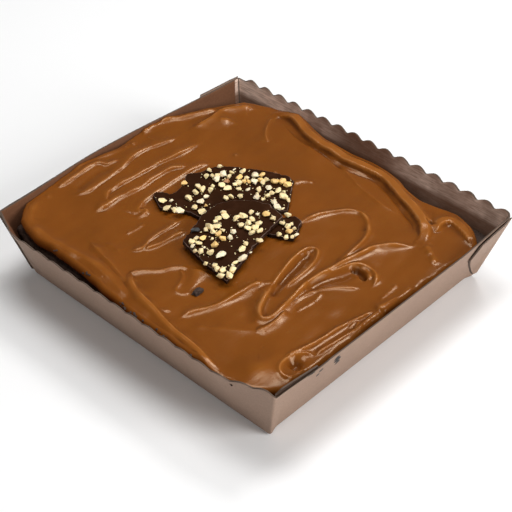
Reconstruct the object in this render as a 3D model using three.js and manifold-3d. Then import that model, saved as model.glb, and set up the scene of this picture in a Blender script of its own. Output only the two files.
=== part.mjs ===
// A chocolate brownie under spread caramel icing, in the folded board tray it comes in, with three
// broken pieces of dark chocolate laid on top. Millimetres, +Z up. The origin is the middle of the
// tray's flat underside; X runs across the tray and Y along its two scalloped walls.

import * as THREE from "three";
import { mergeVertices } from "three/addons/utils/BufferGeometryUtils.js";
import Module from "manifold-3d";

const wasm = await Module();
wasm.setup();

// Driving dimensions of the tray: the walls lean outwards from a smaller floor.
const BOARD = 0.8; // thickness of the folded sheet
const TRAY_HEIGHT = 40.6; // floor underside to the rim, between scallops
const FOOT_X = 80; // half width of the floor
const FOOT_Y = 86.3; // half length of the floor
const RIM_X = 90; // half width at the rim
const RIM_Y = 98.1; // half length at the rim
const CORNER = 1.6; // length of wall taken up by each rounded corner

// Driving dimensions of the food.
const FIT = 0.5; // clearance between a piece and the one that holds it
const BROWNIE_TOP = 29; // height of the brownie in the middle
const BROWNIE_SLOPE = [-0.014, 0.012]; // rise of its top for each millimetre along X and Y
const CRUST_EDGE = 3; // width of the brownie's rounded top edge
const BAKE_SHRINK = 0.3; // how far baking has drawn the brownie in from the tray, beyond the fit
const ICING_ROLL = 3; // radius of the icing's rolled edge
const SHARD_THICKNESS = 2.4;
const SHARD_BED = 36.7; // underside of the two lower shards

const smooth = (t) => THREE.MathUtils.smoothstep(t, 0, 1);
const lerp = THREE.MathUtils.lerp;

// ---------------------------------------------------------------- small geometry helpers

// A geometry from points and triangles, without repeated points.
function solid(points, faces) {
  const geometry = new THREE.BufferGeometry();
  geometry.setAttribute("position", new THREE.Float32BufferAttribute(points.flat(), 3));
  geometry.setIndex(faces.flat());
  return mergeVertices(geometry, 1e-4);
}

// Triangles of the band between two rings of equal length, facing away from a ring's left side.
function band(first, second, count) {
  const faces = [];
  for (let i = 0; i < count; i++) {
    const next = (i + 1) % count;
    faces.push([first + i, first + next, second + next], [first + i, second + next, second + i]);
  }
  return faces;
}

// A closed solid from rings of points, listed from the outside bottom round to the inside bottom,
// with a flat fan closing the first ring and the last one.
function ringSolid(rings) {
  const count = rings[0].length;
  const points = rings.flat();
  const faces = [];
  for (let k = 0; k + 1 < rings.length; k++) {
    faces.push(...band(k * count, (k + 1) * count, count));
  }
  const middle = (ring) => [0, 0, ring.reduce((sum, p) => sum + p[2], 0) / count];
  const firstHub = points.push(middle(rings[0])) - 1;
  const lastHub = points.push(middle(rings.at(-1))) - 1;
  const last = (rings.length - 1) * count;
  for (let i = 0; i < count; i++) {
    const next = (i + 1) % count;
    faces.push([firstHub, next, i], [lastHub, last + i, last + next]);
  }
  return solid(points, faces);
}

// Joins closed geometries into one solid.
function unite(geometries) {
  const parts = geometries.map((geometry) => {
    const merged = geometry.clone();
    merged.deleteAttribute("normal");
    merged.deleteAttribute("uv");
    const clean = mergeVertices(merged, 1e-4);
    const vertProperties = new Float32Array(clean.attributes.position.array);
    const triVerts = new Uint32Array(clean.index.array);
    return new wasm.Manifold(new wasm.Mesh({ numProp: 3, vertProperties, triVerts }));
  });
  const mesh = parts.reduce((whole, part) => whole.add(part)).getMesh();
  const geometry = new THREE.BufferGeometry();
  geometry.setAttribute("position", new THREE.BufferAttribute(mesh.vertProperties, 3));
  geometry.setIndex(new THREE.BufferAttribute(mesh.triVerts, 1));
  return geometry;
}

// ---------------------------------------------------------------- tray walls

// The walls, anticlockwise from above. bow is how far the rim's middle leans out past a straight
// wall, sink how far that lowers the rim, and ramp the share of the wall over which the bow begins
// at each end. tuck is how far in the fold at the foot lies between the corners. A scalloped wall
// has that many rounded waves cut along its rim, from the place start to the place end.
const WALLS = [
  { name: "front", along: [1, 0], out: [0, -1], bow: 1.7, sink: 0.2, ramp: [0.5, 0.5], tuck: 1.3 },
  { name: "right", along: [0, 1], out: [1, 0], bow: 0, sink: 0, ramp: [1, 1], tuck: 0,
    scallops: { count: 17, start: -1, end: 0.965 } },
  { name: "back", along: [-1, 0], out: [0, 1], bow: 4.8, sink: 0.3, ramp: [1.17, 0.83], tuck: 0 },
  { name: "left", along: [0, -1], out: [-1, 0], bow: 6.8, sink: 2.6, ramp: [0.2, 0.32], tuck: 0,
    scallops: { count: 17, start: -1, end: 1 } },
];
const SCALLOP_RISE = 2.4;
const STEPS_PER_SCALLOP = 6;
const STRAIGHT_WALL_STEPS = 24;
const WALL_REACH = 1 - CORNER / RIM_Y; // share of a wall between its two rounded corners
const TUCK_RAMP = 1 - WALL_REACH * (1 - 2 / STRAIGHT_WALL_STEPS); // share over which a tuck begins
const wallNamed = (name) => WALLS.find((wall) => wall.name === name);

// How much of its full bow a wall has at the place f, which runs from -1 to 1 along it.
const bowShare = (wall, f) => smooth((1 + f) / wall.ramp[0]) * smooth((1 - f) / wall.ramp[1]);

// Half the length of the wall at height z, and how far out from the middle it stands there.
function halfLength(wall, z) {
  const t = z / TRAY_HEIGHT;
  return wall.along[0] ? lerp(FOOT_X, RIM_X, t) : lerp(FOOT_Y, RIM_Y, t);
}
function standOff(wall, f, z) {
  const t = z / TRAY_HEIGHT;
  const straight = wall.along[0] ? lerp(FOOT_Y, RIM_Y, t) : lerp(FOOT_X, RIM_X, t);
  const tucked = wall.tuck * (1 - t) * Math.min(1, (1 - Math.abs(f)) / TUCK_RAMP);
  return straight + wall.bow * bowShare(wall, f) * t - tucked;
}

function scallopHeight(wall, f) {
  if (!wall.scallops) return 0;
  const { count, start, end } = wall.scallops;
  const travelled = THREE.MathUtils.clamp((f - start) / (end - start), 0, 1);
  return SCALLOP_RISE * (0.5 - 0.5 * Math.cos(2 * Math.PI * count * travelled)) ** 0.8;
}

const rimHeight = (wall, f) => TRAY_HEIGHT + scallopHeight(wall, f) - wall.sink * bowShare(wall, f);

// A point on the outer face of a wall, moved outwards by outset.
function wallPoint(wall, f, z, outset = 0) {
  const s = f * (halfLength(wall, z) + outset);
  const d = standOff(wall, f, z) + outset;
  return [wall.along[0] * s + wall.out[0] * d, wall.along[1] * s + wall.out[1] * d, z];
}

// A ring round all four walls. height(wall, f) gives the height and outset(wall, f) the offset; each
// corner is rounded by a quadratic curve through its tip.
function wallRing(height, outset, straightSteps = STRAIGHT_WALL_STEPS, scallopSteps = STEPS_PER_SCALLOP) {
  const ring = [];
  WALLS.forEach((wall, index) => {
    const steps = wall.scallops ? wall.scallops.count * scallopSteps : straightSteps;
    for (let i = 0; i <= steps; i++) {
      const f = ((2 * i) / steps - 1) * WALL_REACH;
      ring.push(wallPoint(wall, f, height(wall, f), outset(wall, f)));
    }
    const next = WALLS[(index + 1) % WALLS.length];
    const tip = wallPoint(wall, 1, height(wall, 1), outset(wall, 1));
    const start = ring.at(-1);
    const end = wallPoint(next, -WALL_REACH, height(next, -WALL_REACH), outset(next, -WALL_REACH));
    ring.push(tip.map((value, axis) => 0.25 * start[axis] + 0.5 * value + 0.25 * end[axis]));
  });
  return ring;
}

// Where two walls meet, a triangular tail of the scalloped wall is folded round the corner and glued
// to the straight one. end is the end of the straight wall it sits at, width its length along the
// rim, top its height at the corner and at its nose, crest how much its edge rises between them,
// open how far it springs off the wall at the top, and side 1 outside the wall or -1 inside it.
const FLAPS = [
  { wall: "front", end: 1, width: 26, top: [40.3, 37], crest: 0, open: 1.6, side: 1 },
  { wall: "back", end: -1, width: 34, top: [40.9, 40.9], crest: 0, open: 0.8, side: 1 },
  { wall: "back", end: 1, width: 46, top: [40.2, 39.4], crest: 0, open: 0.6, side: 1 },
  { wall: "front", end: -1, width: 33, top: [41, 41.2], crest: 3.1, open: 1.2, side: -1 },
];
const INNER_FLAP = FLAPS.find((flap) => flap.side < 0);
const FLAP_NOSE = 0.8; // share of the height at which a flap is longest
const FLAP_FOOT = 0.1; // share of the height at which a flap begins
const FLAP_BITE = 0.5 * BOARD; // depth by which a glued flap is sunk into its wall
const FLAP_START = 3; // distance of a flap from its corner
const FLAP_STEPS = [6, 5];

// How far a flap has sprung open at a share of its height.
const springShare = (rise) => smooth((rise - 0.35) / 0.65);

function flapTop({ top, crest }, q) {
  return lerp(top[0], top[1], q) + crest * smooth(q / 0.17) * (1 - q) ** 1.2;
}

function flapGeometry(flap) {
  const { wall: name, end, width, open, side } = flap;
  const wall = wallNamed(name);
  const [across, up] = FLAP_STEPS;
  const face = side > 0 ? 0 : -BOARD;
  const sheets = [-FLAP_BITE, BOARD].map((depth) => {
    const points = [];
    for (let j = 0; j <= up; j++) {
      const rise = lerp(FLAP_FOOT, 1, j / up);
      const length = width * (Math.min(1, rise / FLAP_NOSE) - 0.6 * Math.max(0, rise - FLAP_NOSE));
      for (let i = 0; i <= across; i++) {
        const q = i / across;
        const z = rise * flapTop(flap, q);
        const sprung = depth > 0 ? open * springShare(rise) * smooth(q / 0.3) : 0;
        const f = end * (1 - (q * length + FLAP_START) / halfLength(wall, z));
        points.push(wallPoint(wall, f, z, face + side * (depth + sprung)));
      }
    }
    return points;
  });
  const row = across + 1;
  const sheet = row * (up + 1);
  const faces = [];
  const quad = (a, b, c, d) => faces.push([a, b, c], [a, c, d]);
  for (let j = 0; j < up; j++) {
    for (let i = 0; i < across; i++) {
      const a = j * row + i;
      quad(a, a + row, a + row + 1, a + 1);
      quad(a + sheet, a + sheet + 1, a + sheet + row + 1, a + sheet + row);
    }
    const left = j * row;
    const right = left + across;
    quad(left, left + sheet, left + sheet + row, left + row);
    quad(right, right + row, right + sheet + row, right + sheet);
  }
  for (let i = 0; i < across; i++) {
    const high = up * row + i;
    quad(i, i + 1, i + sheet + 1, i + sheet);
    quad(high, high + sheet, high + sheet + 1, high + 1);
  }
  const turned = end * side > 0;
  return solid(sheets.flat(), turned ? faces.map(([a, b, c]) => [a, c, b]) : faces);
}

function trayGeometry() {
  const shell = ringSolid([
    wallRing(() => 0, () => 0),
    wallRing(rimHeight, () => 0),
    wallRing(rimHeight, () => -BOARD),
    wallRing(() => BOARD, () => -BOARD),
  ]);
  return unite([shell, ...FLAPS.map(flapGeometry)]);
}

// The farthest that food may reach towards each wall at a height, clear of the board and of the
// flap folded inside the front wall.
function keepInside([x, y, z]) {
  const front = wallNamed("front");
  const flapDepth = BOARD + INNER_FLAP.open * springShare(z / INNER_FLAP.top[0]);
  const innerFlap = smooth((-45 - x) / 8) * flapDepth;
  const room = (wall, place) => {
    const f = THREE.MathUtils.clamp(place / halfLength(wall, z), -1, 1);
    return standOff(wall, f, z) - BOARD - FIT - (wall === front ? innerFlap : 0);
  };
  const clampedX = THREE.MathUtils.clamp(x, -room(wallNamed("left"), -y), room(wallNamed("right"), y));
  const clampedY = THREE.MathUtils.clamp(y, -room(front, x), room(wallNamed("back"), -x));
  return [clampedX, clampedY, z];
}

// ---------------------------------------------------------------- brownie

// The slab was baked a little lower towards the front right corner, so its top is a sloping plane.
const brownieTop = (x, y) => BROWNIE_TOP + BROWNIE_SLOPE[0] * x + BROWNIE_SLOPE[1] * y;

// The slab fills the tray. Its rounded top edge is as uneven as baked cake: two waves of different
// lengths run round it.
function brownieGeometry() {
  const wobble = (f, i) => 0.5 * Math.sin(9 * f + i) + 0.4 * Math.sin(21 * f + 2 * i);
  const levels = [
    { below: CRUST_EDGE, inset: 0, uneven: 0 },
    { below: 0.3 * CRUST_EDGE, inset: 0.3 * CRUST_EDGE, uneven: 0.5 },
    { below: 0, inset: CRUST_EDGE, uneven: 0 },
  ];
  const ringAt = (height, inset) =>
    wallRing(height, () => -BOARD - FIT - BAKE_SHRINK - inset, STRAIGHT_WALL_STEPS, 3).map(keepInside);
  const rings = levels.map(({ below, inset, uneven }) => {
    const height = (wall, f) => {
      const [x, y] = wallPoint(wall, f, BROWNIE_TOP, -inset);
      return brownieTop(x, y) - below + uneven * wobble(f, WALLS.indexOf(wall));
    };
    return ringAt(height, inset);
  });
  return ringSolid([ringAt(() => BOARD + FIT, 0), ...rings]);
}

// ---------------------------------------------------------------- icing

// The icing's edge seen from above, one stretch for each side, anticlockwise from the front left.
const ICING_EDGE = [
  [[-89, -88], [-82, -94], [-60, -95], [-20, -95.5], [30, -95.5], [60, -95], [71, -90]],
  [[71, -90], [78, -80], [83, -70], [80, -60], [77.5, -50], [79, -38], [84, -25], [86, -12],
    [83.5, 4], [82, 20], [85, 32], [89, 45], [89, 58], [86.5, 71], [80, 84]],
  [[80, 84], [65, 90], [47, 94.5], [32, 101], [10, 101.5], [-8, 99], [-28, 102], [-50, 101], [-70, 98],
    [-76, 95.5], [-84, 88]],
  [[-84, 88], [-88, 74], [-86, 56], [-86.5, 38], [-88, 15], [-89.5, -10], [-90, -35], [-93, -50],
    [-94, -65], [-93, -78], [-89, -88]],
];
const ICING_STEPS = 42; // grid squares along each side

// How high the icing is spread before its ridges: rows from front to back, each from left to right.
const SPREAD = [
  [37, 36, 35.5, 31.5],
  [37, 35.6, 35.5, 33],
  [36.8, 35.7, 35.6, 35.5],
  [37, 39, 38.8, 34.5],
];

// Ridges pushed up by the palette knife: a route, how high it stands and how wide it is.
const RIDGES = [
  { route: [[-46, 97], [-22, 96], [-11, 90]], rise: 1.6, width: 3.5 },
  { route: [[-50, 86], [-35, 83.5], [-15, 84.5], [5, 86.5], [27, 84]], rise: 1.3, width: 3.5 },
  { route: [[-38, 70], [-28, 75], [0, 74], [30, 71.5]], rise: 1.6, width: 3.5 },
  { route: [[-51, 67], [-32, 66.5], [4, 66], [15, 62]], rise: 1.6, width: 3.5 },
  { route: [[-40, 49], [-30, 53], [-10, 57], [10, 57], [23, 54]], rise: 1.6, width: 3.5 },
  { route: [[-53, 28], [-45, 22.5], [-28, 20.5]], rise: 1.5, width: 3.5 },
  { route: [[-76, 89], [-83, 81], [-86, 70], [-84, 58], [-83, 34], [-85, 18], [-87, 0]], rise: 2, width: 4.5 },
  { route: [[-89, -46], [-87, -25], [-82, -5], [-77, 12], [-71, 18]], rise: 2.2, width: 4 },
  { route: [[-71, 18], [-62, 10], [-55, 4], [-50, -1]], rise: 1.8, width: 3.5 },
  { route: [[-83, -12], [-75, -22], [-60, -30], [-43, -35], [-28, -38]], rise: 2, width: 3.5 },
  { route: [[-30, -40], [-10, -36.5], [8, -37], [-5, -42], [-35, -47]], rise: 1.5, width: 3 },
  { route: [[-35, -41], [-46, -47], [-47, -54], [-30, -53], [5, -52.5], [20, -54]], rise: 2, width: 3.5 },
  { route: [[-35, -56], [-18, -57], [-8, -66], [-1, -73]], rise: 1.9, width: 3.5 },
  { route: [[-70, -81], [-50, -83], [-30, -84.5], [-12, -86.5]], rise: 1.7, width: 3.5 },
  { route: [[17, -19], [32, -23], [45, -30], [44, -39], [36, -48], [15, -52]], rise: 1.9, width: 4 },
  { route: [[0, -52], [20, -55.5], [35, -61], [44, -73]], rise: 2.2, width: 4 },
  { route: [[48, -71], [59, -67], [66, -58], [70, -46], [77, -32], [82, -12], [79, 0], [78, 20], [84, 50]],
    rise: 3, width: 4.5 },
  { route: [[65, -68], [74, -67], [77, -74], [70, -88]], rise: 2.2, width: 4 },
  { route: [[79, 62], [65, 56], [57, 45], [50, 33]], rise: 1.2, width: 3.5 },
  { route: [[22, 101], [38, 97], [57, 89], [72, 84]], rise: 2, width: 4 },
  { route: [[-84, -84], [-78, -87]], rise: 1.8, width: 6 },
];

// Hollows left between the strokes: place, depth and radius.
const HOLLOWS = [
  { at: [4, -64], depth: 2.6, radius: 6 },
  { at: [-18, 91], depth: 1, radius: 8 },
  { at: [69, -63], depth: 2, radius: 5 },
  { at: [-65, -86], depth: 1.6, radius: 4.5 },
];

// The flat bed under the shards, an ellipse on which no ridge runs.
const BED = { x: -4, y: 14, radiusX: 46, radiusY: 45, height: SHARD_BED - 0.8 };

const curveThrough = (route) =>
  new THREE.CatmullRomCurve3(route.map(([x, y]) => new THREE.Vector3(x, y, 0)), false, "centripetal");
const ridgeLines = RIDGES.map(({ route, rise, width }) => ({
  line: curveThrough(route).getPoints(6 * (route.length - 1)),
  rise,
  width,
}));

// Distance from a point to a line of points.
function distanceTo(line, x, y) {
  const point = new THREE.Vector3(x, y, 0);
  const foot = new THREE.Vector3();
  const stretch = new THREE.Line3();
  let best = Infinity;
  for (let i = 0; i + 1 < line.length; i++) {
    stretch.set(line[i], line[i + 1]).closestPointToPoint(point, true, foot);
    best = Math.min(best, foot.distanceTo(point));
  }
  return best;
}

function spreadHeight(x, y) {
  const u = THREE.MathUtils.clamp((x / RIM_X + 1) * 1.5, 0, 2.999);
  const v = THREE.MathUtils.clamp((y / RIM_Y + 1) * 1.5, 0, 2.999);
  const i = Math.floor(u);
  const j = Math.floor(v);
  const low = lerp(SPREAD[j][i], SPREAD[j][i + 1], smooth(u - i));
  const high = lerp(SPREAD[j + 1][i], SPREAD[j + 1][i + 1], smooth(u - i));
  return lerp(low, high, smooth(v - j));
}

function icingHeight(x, y) {
  const bedDistance = Math.hypot((x - BED.x) / BED.radiusX, (y - BED.y) / BED.radiusY);
  const off = smooth((bedDistance - 0.9) / 0.3);
  let ridges = 0;
  for (const { line, rise, width } of ridgeLines) {
    ridges = Math.max(ridges, rise * Math.exp(-((distanceTo(line, x, y) / width) ** 2)));
  }
  let hollows = 0;
  for (const { at, depth, radius } of HOLLOWS) {
    hollows += depth * Math.exp(-((Math.hypot(x - at[0], y - at[1]) / radius) ** 2));
  }
  return lerp(BED.height, spreadHeight(x, y) + ridges - hollows, off);
}

// Concentric squares of the grid are stretched to follow the edge. Outside them the edge rolls over
// in quarter-circle steps, and its foot stands on the brownie.
function icingGeometry() {
  const half = ICING_STEPS / 2;
  const edge = ICING_EDGE.flatMap((side) => curveThrough(side).getSpacedPoints(ICING_STEPS).slice(0, -1));
  const count = edge.length;
  const shrunk = (point, inset) => point.clone().multiplyScalar(1 - inset / point.length());
  const topPoint = (x, y) => keepInside([x, y, icingHeight(x, y)]);

  const points = [[0, 0, icingHeight(0, 0)]];
  const index = new Map([["0,0", 0]]);
  const place = (i, j) => {
    const key = `${i},${j}`;
    if (!index.has(key)) {
      const ring = Math.max(Math.abs(i), Math.abs(j));
      const step = ICING_STEPS / (2 * ring);
      const corner = [[-ring, -ring], [ring, -ring], [ring, ring], [-ring, ring]];
      const walk = j === -ring && i < ring ? 0 : i === ring && j < ring ? 1 : j === ring && i > -ring ? 2 : 3;
      const travelled = Math.abs(i - corner[walk][0]) + Math.abs(j - corner[walk][1]);
      const k = Math.round(walk * ICING_STEPS + travelled * step);
      const { x, y } = shrunk(edge[k % count], ICING_ROLL).multiplyScalar(ring / half);
      index.set(key, points.push(topPoint(x, y)) - 1);
    }
    return index.get(key);
  };

  const faces = [];
  for (let i = -half; i < half; i++) {
    for (let j = -half; j < half; j++) {
      const [a, b, c, d] = [place(i, j), place(i + 1, j), place(i + 1, j + 1), place(i, j + 1)];
      const alongMain = i < 0 === j < 0;
      faces.push(...(alongMain ? [[a, b, c], [a, c, d]] : [[a, b, d], [b, c, d]]));
    }
  }

  const rim = edge.map((_, k) => {
    const walk = Math.floor(k / ICING_STEPS);
    const t = k % ICING_STEPS;
    const at = [[t - half, -half], [half, t - half], [half - t, half], [-half, half - t]][walk];
    return place(...at);
  });
  const addRing = (ring) => {
    const first = points.length;
    points.push(...ring);
    return first;
  };
  const onBrownie = (x, y) => keepInside([x, y, brownieTop(x, y) + FIT]);
  const rollRing = (angle) =>
    edge.map((point, k) => {
      const top = points[rim[k]][2];
      const { x, y } = shrunk(point, ICING_ROLL * (1 - Math.sin(angle)));
      return keepInside([x, y, top - ICING_ROLL * (1 - Math.cos(angle))]);
    });
  const footRing = edge.map((point) => {
    const { x, y } = shrunk(point, 0.5 * ICING_ROLL);
    return onBrownie(x, y);
  });

  const rolls = [Math.PI / 4, Math.PI / 2].map((angle) => addRing(rollRing(angle)));
  const foot = addRing(footRing);
  for (let k = 0; k < count; k++) {
    const next = (k + 1) % count;
    faces.push([rim[k], rolls[0] + k, rolls[0] + next], [rim[k], rolls[0] + next, rim[next]]);
  }
  faces.push(...band(foot, rolls[1], count), ...band(rolls[1], rolls[0], count));
  const hub = points.push(onBrownie(0, 0)) - 1;
  for (let k = 0; k < count; k++) {
    faces.push([hub, foot + ((k + 1) % count), foot + k]);
  }
  return solid(points, faces);
}

// ---------------------------------------------------------------- chocolate shards

// Outlines of the three broken pieces, anticlockwise. The front one leans on the other two: lean is
// its slope towards the front-left corner and lift the height of its underside where it rests.
const SHARDS = [
  {
    name: "shard_back",
    outline: [[16, -9.5], [24, -3], [31, 3], [36, 7], [37, 11], [34.5, 16], [32, 24], [28.5, 32], [24.5, 39],
      [20.5, 44], [14.5, 47.5], [9, 48], [3, 52.5], [0.5, 52], [-2.5, 49], [-7.5, 46.5], [-13, 45], [-16, 47],
      [-18, 51], [-20.5, 53], [-23.5, 51.5], [-28.5, 41], [-24, 34], [-20.5, 27], [-19.5, 19], [-8, 9], [6, -2]],
    lean: 0,
    lift: SHARD_BED,
  },
  {
    name: "shard_right",
    outline: [[-5, -14.5], [-3, -20], [0.8, -27], [6, -25.3], [15.2, -20.3], [15.5, -14], [8, -9.5], [1, -11]],
    lean: 0,
    lift: SHARD_BED,
  },
  {
    name: "shard_front",
    outline: [[-47.5, -26.5], [-35, -23.5], [-20.5, -18.8], [-7.5, -16], [8.5, -13], [10.5, -1], [7, 7], [0, 15],
      [-8, 19], [-20, 18.5], [-32, 14], [-41.5, 11], [-45.2, -8]],
    lean: 0.04,
    lift: SHARD_BED + SHARD_THICKNESS + FIT + 0.4,
  },
];
const SHARD_BEVEL = 0.25;

function shardMesh({ name, outline, lean, lift }) {
  const shape = new THREE.Shape(outline.map(([x, y]) => new THREE.Vector2(x, y)));
  const geometry = new THREE.ExtrudeGeometry(shape, {
    depth: SHARD_THICKNESS - 2 * SHARD_BEVEL,
    bevelThickness: SHARD_BEVEL,
    bevelSize: SHARD_BEVEL,
    bevelOffset: -SHARD_BEVEL,
    bevelSegments: 1,
  });
  geometry.translate(0, 0, SHARD_BEVEL);
  const mesh = new THREE.Mesh(geometry, CHOCOLATE);
  mesh.name = name;
  mesh.position.z = lift;
  mesh.rotation.set(lean * Math.SQRT1_2, -lean * Math.SQRT1_2, 0);
  return mesh;
}

// ---------------------------------------------------------------- the whole

const TRAY_BOARD = new THREE.MeshStandardMaterial({ color: 0x7d675c, roughness: 0.7, metalness: 0 });
const BROWNIE_CRUMB = new THREE.MeshStandardMaterial({ color: 0x2e1a12, roughness: 0.9, metalness: 0 });
const CARAMEL_ICING = new THREE.MeshStandardMaterial({ color: 0x874e1f, roughness: 0.35, metalness: 0 });
const CHOCOLATE = new THREE.MeshStandardMaterial({ color: 0x2b1a15, roughness: 0.45, metalness: 0 });

function namedMesh(name, geometry, material) {
  const mesh = new THREE.Mesh(geometry, material);
  mesh.name = name;
  return mesh;
}

const group = new THREE.Group();
group.add(
  namedMesh("tray", trayGeometry(), TRAY_BOARD),
  namedMesh("brownie", brownieGeometry(), BROWNIE_CRUMB),
  namedMesh("icing", icingGeometry(), CARAMEL_ICING),
  ...SHARDS.map(shardMesh),
);

export default group;
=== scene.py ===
import bmesh
import bpy
import numpy as np
from mathutils import Matrix, Vector


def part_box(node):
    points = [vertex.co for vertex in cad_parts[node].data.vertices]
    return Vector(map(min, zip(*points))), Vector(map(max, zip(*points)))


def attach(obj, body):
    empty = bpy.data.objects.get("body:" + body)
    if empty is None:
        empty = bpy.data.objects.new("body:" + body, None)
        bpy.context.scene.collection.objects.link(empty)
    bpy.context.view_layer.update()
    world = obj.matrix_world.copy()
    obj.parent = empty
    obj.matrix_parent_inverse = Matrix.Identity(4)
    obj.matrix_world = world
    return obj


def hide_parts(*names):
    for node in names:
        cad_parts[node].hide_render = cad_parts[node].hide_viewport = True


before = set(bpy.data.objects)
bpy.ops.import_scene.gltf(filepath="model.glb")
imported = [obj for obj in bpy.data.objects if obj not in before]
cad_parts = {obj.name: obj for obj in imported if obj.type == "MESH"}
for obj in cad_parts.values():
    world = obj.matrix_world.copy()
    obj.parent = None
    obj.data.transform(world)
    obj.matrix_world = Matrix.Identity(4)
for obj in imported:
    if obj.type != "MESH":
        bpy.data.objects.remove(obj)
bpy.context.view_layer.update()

# ---------------------------------------------------------------- camera, table and studio light
# A camera above the front left corner of the tray, with a long lens, looks down on a plain pale
# table. A strong soft light stands in front of the tray, a large one hangs over it, a small one is
# high on its right and a weak one fills in from its left.

table_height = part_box("tray")[0].z - 0.0002  # just under the tray
camera_azimuth = np.radians(-46.58)
camera_elevation = np.radians(39.64)
camera_distance = 0.7147
camera_focal = 95.13  # mm, on a sensor 36 mm wide

away = np.array([
    np.sin(camera_azimuth) * np.cos(camera_elevation),
    -np.cos(camera_azimuth) * np.cos(camera_elevation),
    np.sin(camera_elevation),
])
to_right = np.array([np.cos(camera_azimuth), np.sin(camera_azimuth), 0.0])
to_top = np.cross(away, to_right)
middle_height = 0.0203
aim_right, aim_down = 0.00109, 0.00598
looked_at = np.array([0, 0, middle_height]) + aim_right * to_right - aim_down * to_top

camera = bpy.data.objects.new("camera", bpy.data.cameras.new("camera"))
camera.data.lens = camera_focal
camera.data.sensor_width = 36
camera.data.clip_start = 0.05
turn = Matrix((to_right, to_top, away)).transposed().to_4x4()
camera.matrix_world = Matrix.Translation(Vector(looked_at + away * camera_distance)) @ turn
bpy.context.scene.collection.objects.link(camera)
bpy.context.scene.camera = camera
bpy.context.scene.view_settings.view_transform = "Standard"

table_half = 3.0
table_mesh = bpy.data.meshes.new("table")
table_corners = [(-table_half, -table_half), (table_half, -table_half), (table_half, table_half),
                 (-table_half, table_half)]
table_mesh.from_pydata([(x, y, table_height) for x, y in table_corners], [], [(0, 1, 2, 3)])
table = bpy.data.objects.new("table", table_mesh)
bpy.context.scene.collection.objects.link(table)
table_paint = bpy.data.materials.new("pale_table")
table_paint.use_nodes = True
table_paint.node_tree.nodes["Principled BSDF"].inputs["Base Color"].default_value = (0.9, 0.9, 0.9, 1)
table_paint.node_tree.nodes["Principled BSDF"].inputs["Roughness"].default_value = 0.9
table_mesh.materials.append(table_paint)


def soft_light(name, place, width, height, power):
    """A rectangular light of that width and height at place, turned so that it faces the tray."""
    lamp = bpy.data.lights.new(name, "AREA")
    lamp.shape = "RECTANGLE"
    lamp.size = width
    lamp.size_y = height
    lamp.energy = power
    light = bpy.data.objects.new(name, lamp)
    light.location = place
    light.rotation_euler = (Vector((0, 0, 0.03)) - Vector(place)).to_track_quat("-Z", "Y").to_euler()
    bpy.context.scene.collection.objects.link(light)


soft_light("high_right_softbox", (0.78, 0.03, 1.16), 0.4, 0.3, 5.5)
soft_light("left_softbox", (-1.1, -0.35, 0.8), 0.8, 0.8, 3)
soft_light("overhead_softbox", (0.15, 0.25, 1.3), 0.7, 0.5, 8.5)
soft_light("right_softbox", (0.35, -1.4, 0.75), 0.8, 0.8, 20)
studio = bpy.data.worlds.new("studio")
studio.use_nodes = True
studio.node_tree.nodes["Background"].inputs["Color"].default_value = (1, 1, 1, 1)
studio.node_tree.nodes["Background"].inputs["Strength"].default_value = 0.12
bpy.context.scene.world = studio

# ---------------------------------------------------------------- folded board tray
# One sheet of brown baking board, 0.8 mm thick, creased at the foot so that four walls lean
# outwards. Two facing walls are die-cut into scallops. At each corner a tail of the scalloped
# wall is folded round and glued to the straight one. The cut edges show the darker core, and the
# same dark colour is painted into the crease inside each corner as shade.

board = 0.0008
tray_height = 0.0406
foot_half = (0.080, 0.0863)
rim_half = (0.090, 0.0981)
corner_length = 0.0016
scallop_rise = 0.0024
wall_reach = 1 - corner_length / rim_half[1]
tuck_ramp = 0.082
straight_steps = 120
scalloped_steps = 238
corner_points = 5

# Each wall, anticlockwise: the way along it, the way out, how far its rim bows out and over what
# share from each end, how far the bow lowers the rim, how far the foot crease is tucked in, and its
# scallops: how many, from where, to where. worn is how much too short the rim is cut at the wall's
# start, the place up to which that is so, and the place from which the rim is whole.
walls = {
    "front": dict(along=(1, 0), out=(0, -1), bow=0.0017, ramp=(0.5, 0.5), sink=0.0002, tuck=0.0016,
                  scallops=None, worn=(0.0017, -0.66, -0.58)),
    "right": dict(along=(0, 1), out=(1, 0), bow=0, ramp=(1, 1), sink=0, tuck=0, scallops=(17, -1.012, 0.938)),
    "back": dict(along=(-1, 0), out=(0, 1), bow=0.0048, ramp=(1.17, 0.83), sink=0.0003, tuck=0,
                 scallops=None),
    "left": dict(along=(0, -1), out=(-1, 0), bow=0.0068, ramp=(0.2, 0.32), sink=0.0026, tuck=0,
                 scallops=(17, -1, 1)),
}


def smooth(t):
    """0 below 0 and 1 above 1, with a smooth step between, 3t squared less 2t cubed."""
    t = np.clip(t, 0, 1)
    return t * t * (3 - 2 * t)


def bow_share(wall, f):
    """How much of the wall's bow is reached at the place f, from -1 to 1 along the wall."""
    return smooth((1 + f) / wall["ramp"][0]) * smooth((1 - f) / wall["ramp"][1])


def rim_height(wall, f):
    """The straight rim, raised by a rounded wave for each scallop, and lowered where it bows out and
    where the die cut it short."""
    rise = 0.0
    if wall["scallops"]:
        count, start, end = wall["scallops"]
        travelled = np.clip((f - start) / (end - start), 0, 1)
        rise = scallop_rise * (0.5 - 0.5 * np.cos(2 * np.pi * count * travelled)) ** 0.6
    if "worn" in wall:
        depth, full, gone = wall["worn"]
        rise = -depth * (1 - smooth((f - full) / (gone - full)))
    return tray_height + rise - wall["sink"] * bow_share(wall, f)


def half_sizes(wall, z):
    """Half the length of a wall, and how far out it stands, at the height z: both grow in proportion
    to height from the foot to the rim."""
    axes = (0, 1) if wall["along"][0] else (1, 0)
    return [foot_half[axis] + (rim_half[axis] - foot_half[axis]) * (z / tray_height) for axis in axes]


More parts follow.
